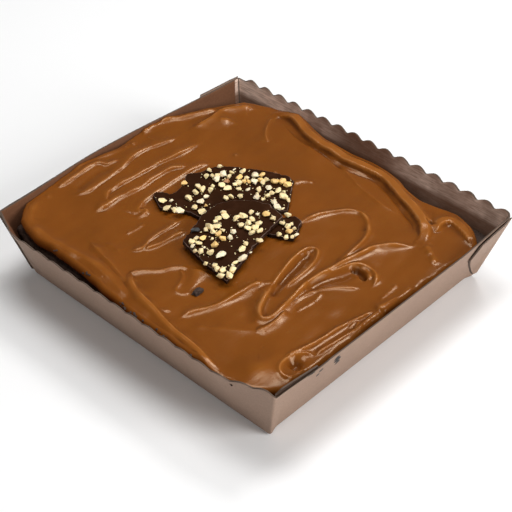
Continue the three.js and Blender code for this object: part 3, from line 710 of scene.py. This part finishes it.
def depth_inside(x, y, outline):
    """How far each place is inside a closed outline, negative outside it: the distance to the nearest
    side, with its sign from how many sides a line to the right of the place crosses."""
    nearest = np.full(x.shape, 1e9)
    crossed = np.zeros(x.shape, int)
    for (x1, y1), (x2, y2) in zip(outline, outline[1:] + outline[:1]):
        dx, dy = x2 - x1, y2 - y1
        share = np.clip(((x - x1) * dx + (y - y1) * dy) / (dx * dx + dy * dy), 0, 1)
        nearest = np.minimum(nearest, np.hypot(x - x1 - share * dx, y - y1 - share * dy))
        if dy:
            crossed += ((y1 <= y) != (y2 <= y)) & (x < x1 + (y - y1) * dx / dy)
    return np.where(crossed % 2 == 1, nearest, -nearest)


def highest_crest(x_mm, y_mm):
    """The height of the highest crest at each place, in millimetres."""
    top = np.zeros(x_mm.shape)
    for crest in crests:
        top = np.maximum(top, crest_height(x_mm, y_mm, crest, sharpness=1.2))
    return top


def icing_height(x, y):
    """The height of the icing's surface over a place: the spread, interpolated smoothly between its
    rows, with low waves of the knife, the highest crest and the deepest groove there, and the
    swellings. Around the chocolate it levels out, and under it it is pressed down."""
    x_mm, y_mm = 1000 * x, 1000 * y
    column_at = np.clip((x_mm / (1000 * rim_half[0]) + 1) * 1.5, 0, 2.999)
    row_at = np.clip((y_mm / (1000 * rim_half[1]) + 1) * 1.5, 0, 2.999)
    column, row = column_at.astype(int), row_at.astype(int)
    right, back = smooth(column_at - column), smooth(row_at - row)
    front_row, back_row = [spread_rows[at, column] * (1 - right) + spread_rows[at, column + 1] * right
                           for at in (row, row + 1)]
    height = front_row * (1 - back) + back_row * back + 0.40 * uneven(x_mm, y_mm, 34, seed=5)
    bed = np.hypot((x_mm - shard_bed["x"]) / shard_bed["radius_x"],
                   (y_mm - shard_bed["y"]) / shard_bed["radius_y"])
    off_bed = smooth((bed - 0.7) / 0.5)
    height = shard_bed["height"] * (1 - off_bed) + height * off_bed + 0.12 * uneven(x_mm, y_mm, 11, seed=6)
    hollow = np.zeros(x_mm.shape)
    for groove in grooves:
        hollow = np.minimum(hollow, crest_height(x_mm, y_mm, groove, sharpness=2))
    height = height + highest_crest(x_mm, y_mm) + hollow
    for place_x, place_y, rise, radius in swellings:
        height = height + rise * np.exp(-(np.hypot(x_mm - place_x, y_mm - place_y) / radius) ** 2)
    for name, outline in shard_outlines.items():
        outside = 1 - smooth(1 + depth_inside(x_mm, y_mm, outline) / press_width)
        underside = 1000 * shard_lift[name] + shard_lean[name] * (x_mm + y_mm)
        height = np.minimum(height, underside - press_gap + press_rise * outside)
    return height / 1000


def blurred(values, times):
    """A grid averaged with its neighbours that many times, a quarter from each side and half its own."""
    for _ in range(times):
        wide = np.pad(values, 1, mode="edge")
        beside = wide[:-2, 1:-1] + wide[2:, 1:-1] + wide[1:-1, :-2] + wide[1:-1, 2:]
        values = wide[1:-1, 1:-1] * 0.5 + beside / 8
    return values


edge_sides = [curve_through(side, 0.5) for side in icing_edge]
edge_line = np.concatenate([side[:-1] for side in edge_sides] + [edge_sides[0][:1]])
edge_place = np.concatenate([k + np.arange(len(side) - 1) / (len(side) - 1)
                             for k, side in enumerate(edge_sides)] + [[4]])


def edge_at(place):
    """The point of the icing's edge at a place from 0 to 4, a whole number at each corner, in metres."""
    x, y = [np.interp(place, edge_place, edge_line[:, axis]) for axis in (0, 1)]
    lumps = 1 + 0.004 * uneven(x, y, 14, seed=9) + 0.0015 * uneven(x, y, 5, seed=10)
    return x * lumps / 1000, y * lumps / 1000


# The top is a square grid whose concentric squares are stretched to follow the edge.
half_steps = icing_steps // 2
from_middle = np.arange(-half_steps, half_steps + 1)
step_x, step_y = np.meshgrid(from_middle, from_middle, indexing="ij")
square = np.maximum(np.abs(step_x), np.abs(step_y))
sides = [(step_y == -square) & (step_x < square), (step_x == square) & (step_y < square),
         (step_y == square) & (step_x > -square)]
# Each point's side, and how many steps along it the point is, give its place on the edge.
side_number = np.select(sides, [0, 1, 2], 3)
walked = np.select(sides, [step_x + square, step_y + square, square - step_x], square - step_y)
place_on_edge = side_number + walked / np.maximum(2 * square, 1)
edge_x, edge_y = edge_at(place_on_edge % 4)
shrink = (1 - icing_roll / np.hypot(edge_x, edge_y)) * square / half_steps
top_x, top_y = edge_x * shrink, edge_y * shrink
top_points = keep_inside(top_x, top_y, icing_height(top_x, top_y), icing_gap)

# Outside the top, rings roll over the edge and tuck back under it to stand on the brownie.
around = np.arange(4 * icing_steps) / icing_steps
grid_points = top_points.reshape(-1, 3)
number = np.arange(len(grid_points)).reshape(icing_steps + 1, icing_steps + 1)
rim_index = grid_outline(number.T)
rim_x, rim_y = edge_at(around)
rim_out = np.hypot(rim_x, rim_y)
rim_z = grid_points[rim_index, 2]
foot_z = brownie_top(rim_x, rim_y) + icing_foot_rise
roll_levels = [(icing_roll * (1 - np.sin(angle)), rim_z - icing_roll * (1 - np.cos(angle)))
               for angle in np.radians([15, 30, 45, 60, 75, 90])]
roll_levels += [(inset, (rim_z - icing_roll) * (1 - share) + foot_z * share)
                for share, inset in [(0.3, 0.0001), (0.6, 0.0005), (0.85, 0.0012), (1, 0.0022)]]
roll_rings = [keep_inside(rim_x * (1 - inset / rim_out), rim_y * (1 - inset / rim_out), z, icing_gap)
              for inset, z in roll_levels]

icing_points = np.concatenate([grid_points] + roll_rings)
roll_numbers = np.arange(len(grid_points), len(icing_points)).reshape(len(roll_rings), -1)
roll_faces = ring_faces(np.concatenate([roll_numbers[::-1], rim_index[None]]))
icing_faces = np.concatenate([grid_faces(number), roll_faces]).tolist()
icing_faces.append(roll_numbers[-1, ::-1].tolist())


def caramel_material(name, deep, pale, painted_light_and_shade):
    """Glossy caramel: a brown mottled by broad clouds, with light and shade painted over it. Each
    painted tone is mixed in as one of the surface's measures goes from a lowest to a highest value:
    how far it stands out from its surroundings, how thick the ridge is and how thin its edge. It has
    a bump of knife streaks and pinholes."""
    paint = Paint(name)
    colour = paint.mix((*deep, 1), (*pale, 1), paint.noise(28, 3))
    for measure, lowest, highest, strength, shade in painted_light_and_shade:
        share = paint.ramp(paint.measure(measure, "Fac"), lowest, highest, top=strength)
        colour = paint.mix(colour, (*shade, 1), share)
    combed = paint.node("Mapping", {"Vector": paint.place, "Rotation": (0, 0, 0.15), "Scale": (90, 420, 420)})
    streaks = paint.noise(1, 4, combed.outputs["Vector"], distortion=1.2)
    bubbles = paint.node("TexVoronoi", {"Vector": paint.place, "Scale": 95}).outputs["Distance"]
    grain = paint.math("MULTIPLY_ADD", paint.ramp(bubbles, 0.03, 0.07), 3, streaks)
    return paint.done(colour, grain, 0.15, 0.0004, {
        "Roughness": 0.22, "Specular IOR Level": 0.42, "Specular Tint": (1, 0.76, 0.52, 1),
        "Subsurface Weight": 0.1, "Subsurface Radius": (0.004, 0.0015, 0.0005), "Subsurface Scale": 1.0,
    })


# Painted light and shade: places that stand out and thick ridges are lighter as painted light, hollows and
# thin creases darker as painted shade, and thin crests paler, partly because thin caramel is paler and partly
# as a painted highlight.
caramel = caramel_material("caramel", (0.147, 0.0408, 0.0034), (0.231, 0.0670, 0.0070), [
    ("standing_out", 0.55, 1.0, 0.85, (0.34, 0.112, 0.014)),
    ("standing_out", 0.40, 0.05, 0.6, (0.11, 0.027, 0.002)),
    ("thickness", 0.35, 0.9, 0.75, (0.275, 0.088, 0.013)),
    ("thin_edge", 0.68, 1.0, 0.25, (0.54, 0.25, 0.085)),
    ("thin_edge", 0.42, 0.10, 0.7, (0.09, 0.022, 0.002)),
])
caramel_icing = mesh_piece("caramel_icing", icing_points, icing_faces, [caramel])

# What the painted light and shade go by: how far each place stands above its broad and its close
# surroundings, and the crest there against the thickest one, each as a share of the range it is found in.
surface_z = top_points[..., 2]
patchy = 1 + 0.8 * uneven(1000 * top_x, 1000 * top_y, 9, seed=72)
broad_range, close_range, thickest = 0.0032, 0.0006, 3.2
measures = {
    "standing_out": 0.5 + (surface_z - blurred(surface_z, 180)) / broad_range,
    "thin_edge": 0.5 + (surface_z - blurred(surface_z, 5)) / close_range * patchy,
    "thickness": highest_crest(1000 * top_x, 1000 * top_y) / thickest,
}
for measure, values in measures.items():
    level = np.full(len(icing_points), 0.5)
    level[:len(grid_points)] = values.ravel()
    attribute = caramel_icing.data.attributes.new(measure, "FLOAT", "POINT")
    attribute.data.foreach_set("value", np.clip(level, 0, 1).astype(np.float32))
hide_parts("icing")

# ---------------------------------------------------------------- broken chocolate
# Three pieces broken off a thin sheet of dark chocolate, two laid on the icing and one leaning on
# them. Their sides are rough where they snapped, and a paler strip painted round their top edges
# stands for the highlight the edges catch.


def chocolate_material(name, base, bloom_and_highlight, roughness, shine):
    """Dark chocolate: a base mixed in faint clouds with a paler colour, with fine snap marks and specks
    in its bump. On the pieces the paler colour is whitish blooming; on their edge strip it is a
    painted highlight.
    """
    paint = Paint(name)
    haze = paint.ramp(paint.noise(130, 6), 0.5, 0.8)
    colour = paint.mix((*base, 1), (*bloom_and_highlight, 1), haze)
    return paint.done(colour, paint.noise(900, 5), 0.35, 0.0002,
                      {"Roughness": roughness, "Specular IOR Level": shine})


dark_chocolate = chocolate_material("dark_chocolate", (0.025, 0.007, 0.001), (0.044, 0.015, 0.005), 0.6,
                                    0.05)
snapped_chocolate = chocolate_material("snapped_chocolate", (0.024, 0.009, 0.004), (0.085, 0.045, 0.03),
                                       0.7, 0.08)
# Painted highlight: the paler strip round the top edge of each piece.
painted_edge_highlight = chocolate_material("painted_edge_highlight", (0.07, 0.04, 0.03), (0.30, 0.20, 0.15), 0.7, 0.2)


def snapped_outline(outline, seed):
    """The outline in metres at steps of about 0.6 mm, smoothed once, moved in by 0.2 mm and in and out
    along its own normal by a ragged unevenness, and that normal."""
    line = resampled(np.asarray(outline + outline[:1], float) / 1000, 0.0006)[:-1]
    line = 0.5 * line + 0.25 * (np.roll(line, 1, 0) + np.roll(line, -1, 0))
    tangent = np.roll(line, -3, 0) - np.roll(line, 3, 0)
    normal = np.stack([tangent[:, 1], -tangent[:, 0]], -1) / np.hypot(*tangent.T)[:, None]
    ragged = 0.00028 * uneven(line[:, 0], line[:, 1], 0.0045, seed)
    ragged = ragged + 0.00012 * uneven(line[:, 0], line[:, 1], 0.0016, seed + 1)
    return line + (ragged - 0.0002)[:, None] * normal, normal


# The rings of a piece's side, from its underside to its top: height, inset, how rough the ring is, and
# how far the chips along the upper edge cut into it and lower it, as shares of their size.
shard_rings = [
    (0.0, 0.0004, 0, 0, 0),
    (0.0003, 0.0001, 0.00012, 0, 0),
    (0.0009, 0.0, 0.00012, 0, 0),
    (0.0015, 0.0001, 0.00012, 0, 0),
    (shard_thickness - 0.0003, 0.00003, 0, 1, 0),
    (shard_thickness - 0.00015, 0.00008, 0, 1, 0.5),
    (shard_thickness, 0.0004, 0, 1, 0.5),
    (shard_thickness, 0.0011, 0, 1, 0),
]
chip_depth = 0.0009

for seed, (name, outline) in enumerate(shard_outlines.items()):
    line, normal = snapped_outline(outline, 20 + 3 * seed)
    x, y = line.T
    chips = np.maximum(0, uneven(x, y, 0.007, seed=90 + seed) - 0.35) * chip_depth
    rings = []
    for k, (height, inset, roughness, cut, lowered) in enumerate(shard_rings):
        rough = roughness * uneven(x, y + 0.01 * k, 0.0022, seed=60 + k)
        spot = line - (inset + chips * cut + rough)[:, None] * normal
        z = shard_lift[name] + height + shard_lean[name] * (spot[:, 0] + spot[:, 1])
        rings.append(np.column_stack([spot, z - lowered * chips]))
    # The side shows where it snapped, the top is dark, and a strip round its top edge is painted paler
    # as a highlight.
    kinds = np.repeat([1, 1, 1, 1, 0, 2, 0], len(line)).tolist() + [0, 0]
    piece = closed_shell(f"chocolate_{name}", rings, [dark_chocolate, snapped_chocolate, painted_edge_highlight],
                         kinds, smooth_shading=False)
    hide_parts(name)

# ---------------------------------------------------------------- chopped nuts
# Blanched nuts chopped into blunt nuggets and pressed into the chocolate while it was soft: mostly
# cream, some toasted golden, a few white and one with its brown skin on.

# Each bit of nut: its place on that piece of chocolate, its length and its width, in millimetres, and
# its kind where that is not cream.
chopped_bits = {
    "shard_back": [
        (18.5, 43.5, 2.3, 2.6), (12, 44.5, 2.6, 2.6), (7, 42, 2.6, 3), (9.5, 40, 2.3, 2.3),
        (12, 38.5, 2.6, 2.6), (14.5, 36.5, 4, 3, "white"), (19, 34.5, 3, 2.3), (15.5, 33, 2.3, 2.3),
        (9, 36, 4.3, 3.3, "white"), (12, 31, 4, 2.3, "brown"), (22.5, 36, 2.6, 0.9, "white"),
        (24.5, 31.5, 3.3, 2.3), (18.5, 28.5, 4.6, 2.5, "golden"), (21.5, 25.5, 3, 2), (15, 25, 3, 3),
        (12.5, 25.5, 2.3, 2.6), (11.5, 22, 2.6, 2), (17.5, 24, 2, 2.6, "golden"),
        (19.5, 22.5, 1.7, 2.3, "golden"), (25.5, 23.5, 4, 3.3, "white"), (29, 21.5, 3.6, 2, "golden"),
        (21.5, 19.5, 4, 3, "white"), (25, 19, 2.6, 2.6, "golden"), (24.5, 16, 3, 3.3), (27.5, 17, 2.3, 2.3),
        (29.5, 12.5, 4, 4, "golden"), (32, 9, 3.3, 3.3, "golden"), (32, 6, 4, 4.3, "golden"),
        (18, 13.5, 3, 2.6), (14.5, 18, 3.3, 1.2, "white"), (22.5, 10.5, 3, 3, "white"),
        (20.5, 6.5, 2.6, 2.6), (17.5, 6.5, 3, 2), (24, 5, 3.6, 2.3), (25.5, 2.5, 2.6, 2),
        (22, -0.5, 4.3, 3.6), (22, -4, 2.3, 2.3), (12.5, 10, 3, 3.2, "white"), (15, 12, 2, 1.3),
        (14, 6.5, 2.6, 1.3), (15.5, 0, 3.3, 3, "white"), (13.5, -4, 4, 3, "white"), (15, -6.5, 2.3, 1.3),
        (12.5, -12.5, 3.6, 2.6), (7, 30.5, 4, 3), (7.5, 26.5, 4, 3.3), (3.5, 33.5, 2.3, 1.7),
        (0, 31.5, 3, 2.6), (-2.5, 38.5, 3.3, 3), (-2.5, 35, 3, 4.3), (-7, 36, 3.6, 2.6),
        (-5.5, 46.5, 3.3, 3, "golden"), (-5.5, 29.5, 3, 2, "white"), (0.5, 21, 2.6, 3), (3.5, 19.5, 2.6, 3),
        (7, 16.5, 2.6, 2.6), (-13, 35, 4.3, 3), (-11.5, 28.5, 4.3, 2.8, "white"), (-24, 43.5, 4, 3.3),
        (-20.5, 40.5, 2.6, 1.3, "white"), (-26.5, 37.5, 3.6, 2.6), (-25.5, 33, 3, 2.3),
        (-23.5, 31, 4, 4, "white"), (-16.5, 27, 3, 2.6), (-16, 22, 4, 4), (-11.5, 24, 2, 2, "golden"),
        (-10, 18.5, 3.3, 2.3), (-0.5, 9.5, 1.7, 3.3), (7.5, 3, 2.3, 1.5, "white"),
        (-0.5, 15, 2.3, 1.3, "white"),
    ],
    "shard_right": [
        (5.5, -15, 2.9, 2.6), (8.5, -18.5, 1.8, 1.6), (5.5, -19, 3.4, 2.6), (3, -22, 3.7, 2.6, "golden"),
        (6.5, -22.5, 2, 2), (-2.5, -20, 2.4, 2.1), (-1.5, -24, 2.6, 2.1), (1, -26, 2.1, 1.6),
        (3.5, -26.5, 2.4, 1.8, "white"),
    ],
    "shard_front": [
        (-12, 10.5, 2.9, 2.6), (-13, 8, 3.7, 3.2), (-16.5, 9.5, 2.9, 2.6), (-19.5, 9, 2.4, 1.8),
        (-10.5, 2.5, 4.2, 2.4), (-6.5, 1.5, 4, 3.2), (-1.5, 0.5, 3.2, 1.8), (-5.5, -4, 2.9, 2.6),
        (-9, -4.5, 2.6, 2.6), (-5.5, -8.5, 3.2, 3.2), (-8.5, -9, 4, 3.7), (-12, -7, 3.4, 3.2),
        (-9.5, -13, 3.4, 2.4), (-13, -11, 3.2, 2.1), (-13, -3, 3.2, 3.4), (2.5, -6.5, 3.2, 3.2, "golden"),
        (2.5, -11.5, 3.2, 2.6), (-0.5, -3, 1.7, 1.5, "white"), (-25, 8, 4.8, 3.7), (-22, 5.5, 4, 3.2),
        (-27.5, 7.5, 2.6, 2.4), (-26.5, 3.5, 2.4, 2.6), (-22, 1, 2.4, 2.1), (-25.5, 0.5, 3.2, 2.6, "golden"),
        (-26.5, -3.5, 3.2, 2.4, "golden"), (-19, -3.5, 3.1, 2.4, "white"), (-23.5, -5.5, 2.7, 2.5, "white"),
        (-30, 0.5, 1.6, 1.5), (-39, 6, 3.2, 2.9), (-41, 3.5, 2.1, 2.1, "white"), (-35.5, 6.5, 2.9, 1.8),
        (-33.5, 4, 3.7, 3.2, "golden"), (-37.5, 2.5, 2.4, 2.9), (-43, 0, 2.1, 2.1), (-41, -2.5, 3.2, 2.4),
        (-32.5, -4, 3.7, 3.2, "golden"), (-38.5, -6.5, 4, 2.4), (-36, -11.5, 6.1, 3.4, "white"),
        (-21.5, -15, 2.2, 2.4), (-25.5, -16, 4.2, 2.6), (-15, -18, 3.2, 2.6), (-30, -21, 5.5, 2.6, "white"),
        (-35, -20.5, 3.2, 1.7), (-37.5, -21, 1.3, 1.5, "white"), (-46, -10.5, 2.5, 2.1),
        (-43.5, -14.5, 2.9, 2.4), (-44.5, -17.5, 3.3, 2.6), (-43.5, -20, 3.4, 2.6), (-47, -22.5, 4, 2.9),
        (-44, -25, 4, 3.2), (-40, -23.5, 3.2, 3.4), (-24, -20.5, 1.6, 0.8, "white"),
        (-37.5, -1, 1.8, 1.1, "white"),
    ],
}
nut_colours = {"cream": (0.93, 0.74, 0.40), "white": (0.93, 0.79, 0.54), "golden": (0.90, 0.58, 0.21),
               "brown": (0.50, 0.22, 0.08)}


def taken_from(shape):
    """The points and triangles of a shape, which is then let go."""
    shape.verts.index_update()
    points = np.array([corner.co for corner in shape.verts])
    faces = np.array([[corner.index for corner in face.verts] for face in shape.faces])
    shape.free()
    return points, faces


def chopped_bit(length, width, height, chance):
    """The hull of twenty points spread by chance over a ball, each set 0.9 to 1.2 times as far out,
    stretched to the bit's size, turned about the vertical and tipped, with its triangles. A bit at
    least 1.4 times as long as wide is turned only a little, so that its length still shows."""
    spread = chance.normal(size=(20, 3))
    spread *= (chance.uniform(0.9, 1.2, 20) / np.linalg.norm(spread, axis=1))[:, None]
    shape = bmesh.new()
    for spot in spread * [length / 2, width / 2, height / 2]:
        shape.verts.new(spot)
    hull = bmesh.ops.convex_hull(shape, input=shape.verts)
    inside = [part for part in hull["geom_interior"] if isinstance(part, bmesh.types.BMVert)]
    bmesh.ops.delete(shape, geom=inside, context="VERTS")
    bmesh.ops.recalc_face_normals(shape, faces=shape.faces)
    points, faces = taken_from(shape)
    spin = chance.uniform(0, np.pi) if length < 1.4 * width else chance.uniform(-0.3, 0.3)
    turned = np.stack([points[:, 0] * np.cos(spin) - points[:, 1] * np.sin(spin),
                       points[:, 0] * np.sin(spin) + points[:, 1] * np.cos(spin),
                       points[:, 2] + 0.2 * points[:, 0] * chance.uniform(-1, 1)], -1)
    return turned, faces


def joined(bits):
    """The points and the triangles of many bits, each as one array."""
    points, faces = zip(*bits)
    starts = np.cumsum([0, *map(len, points)])
    return np.concatenate(points), np.concatenate([part + start for part, start in zip(faces, starts)])


def nut_dust(bits, chance):
    """Specks of nut 0.4 to 0.9 mm long, two beside each bit, about its own length away."""
    around = np.repeat(np.array([bit[:3] for bit in bits]), 2, axis=0)
    heading = chance.uniform(0, 2 * np.pi, len(around))
    off = around[:, 2] * chance.uniform(0.7, 1.5, len(around))
    x = around[:, 0] + off * np.cos(heading)
    y = around[:, 1] + off * np.sin(heading)
    lengths = chance.uniform(0.4, 0.9, len(around))
    return list(zip(x, y, lengths, 0.7 * lengths))


# A ragged hull comes out smaller than its size, so it is made this much larger.
hull_growth = np.array([1.18, 1.24, 1.18]) / 1000
nut_most_height = 2.1
nut_sink = 0.0002
nut_bits, nut_tones = [], []
nut_chance = np.random.default_rng(12)
for shard, bits in chopped_bits.items():
    for x, y, length, width, *kind in bits + nut_dust(bits, nut_chance):
        height = min(width * nut_chance.uniform(0.75, 0.95), nut_most_height)
        bit, bit_faces = chopped_bit(*(hull_growth * [length, width, height]), nut_chance)
        # Dust is left out where it would lie off its piece or under the front one.
        spot = np.array([x, y])
        off_edge = depth_inside(*spot, shard_outlines[shard]) < 0.3
        covered = shard != "shard_front" and depth_inside(*spot, shard_outlines["shard_front"]) > 0.6
        if length < 1 and (off_edge or covered):
            continue
        chocolate_top = shard_lift[shard] + shard_thickness + shard_lean[shard] * (x + y) / 1000
        lift = chocolate_top - bit[:, 2].min() - nut_sink
        nut_bits.append((bit + [x / 1000, y / 1000, lift], bit_faces))
        shade = nut_chance.uniform(0.85, 1.1) * np.array(nut_colours[kind[0] if kind else "cream"])
        nut_tones.append(np.tile([*np.minimum(shade, 1), 1], (len(bit), 1)))

# Chopped nut: its own colour, carried by each bit, mottled by fine noise, slightly waxy.
nut = Paint("chopped_nut")
mottle = nut.noise(900, 4)
nut_flesh = nut.mix(nut.measure("nut_colour", "Color"), mottle, 0.3, "OVERLAY")
chopped_nut = nut.done(nut_flesh, mottle, 0.4, 0.00015, {
    "Roughness": 0.5, "Subsurface Weight": 0.15, "Subsurface Radius": (0.001, 0.0007, 0.0003),
    "Subsurface Scale": 1.0,
})
chopped_nuts = mesh_piece("chopped_nuts", *joined(nut_bits), [chopped_nut], smooth_shading=False)
colour = chopped_nuts.data.attributes.new("nut_colour", "FLOAT_COLOR", "POINT")
colour.data.foreach_set("color", np.concatenate(nut_tones).astype(np.float32).ravel())

# ---------------------------------------------------------------- stray crumbs and a flake
# Bits that fell where they lie: a crumb of the brownie on the icing left of the chocolate, small
# crumbs pushed up between the icing and the left wall, and a bloomed flake on the front chocolate.

crumb_place = (-0.0600, -0.0193)
crumb_half = (0.0029, 0.0019, 0.0013)
ball = bmesh.new()
bmesh.ops.create_icosphere(ball, subdivisions=4, radius=1)
crumb_ball, crumb_faces = taken_from(ball)
ball_x, ball_y, ball_z = crumb_ball.T
lumps = 1 + 0.3 * uneven(ball_x + 2 * ball_z, ball_y, 1.1, seed=33)
lumps = lumps + 0.12 * uneven(ball_x - ball_z, ball_y + ball_z, 0.35, seed=34)
crumb_points = crumb_ball * lumps[:, None] * crumb_half + [*crumb_place, 0]
crumb_points[:, 2] += icing_height(np.array([crumb_place[0]]), np.array([crumb_place[1]]))[0] + 0.0007
stray_crumb = mesh_piece("stray_crumb", crumb_points, crumb_faces, [brownie_crumb])

# The small crumbs lie thickest at these places along the left wall, in metres from its middle.
crumb_heaps = [0.057, 0.030, 0.002, -0.005, -0.008, -0.022, -0.029, -0.034, -0.036, -0.050, -0.073]
heap_reach = 0.088  # half the length of the icing's left side
rim_chance = np.random.default_rng(7)
heap_y = np.repeat(crumb_heaps, 6) + rim_chance.normal(0, 0.0025, 6 * len(crumb_heaps))
heap_x, heap_y = edge_at(3 + (heap_reach - heap_y) / (2 * heap_reach))
heap_inset = rim_chance.uniform(0.0001, 0.0012, len(heap_x))
heap_x = heap_x + heap_inset
heap_z = icing_height(heap_x, heap_y) - icing_roll * (1 - np.sqrt(1 - (1 - heap_inset / icing_roll) ** 2))
rim_bits = []
for place in zip(heap_x, heap_y, heap_z):
    size = rim_chance.uniform(0.0006, 0.0018)
    bit, bit_faces = chopped_bit(size, 0.8 * size, 0.6 * size, rim_chance)
    rim_bits.append((bit + place + np.array([0, 0, 0.25 * size]), bit_faces))
rim_crumbs = mesh_piece("rim_crumbs", *joined(rim_bits), [brownie_crumb], smooth_shading=False)

flake_place = (-0.0315, 0.0112)
flake_points, flake_faces = chopped_bit(0.0046, 0.0040, 0.0016, rim_chance)
flake_z = shard_lift["shard_front"] + shard_thickness + shard_lean["shard_front"] * sum(flake_place)
bloomed_chocolate = chocolate_material("bloomed_chocolate", (0.05, 0.05, 0.05), (0.2, 0.21, 0.22), 0.7, 0.2)
bloomed_flake = mesh_piece("bloomed_flake", flake_points + [*flake_place, flake_z - flake_points[:, 2].min()],
                           flake_faces, [bloomed_chocolate], smooth_shading=False)
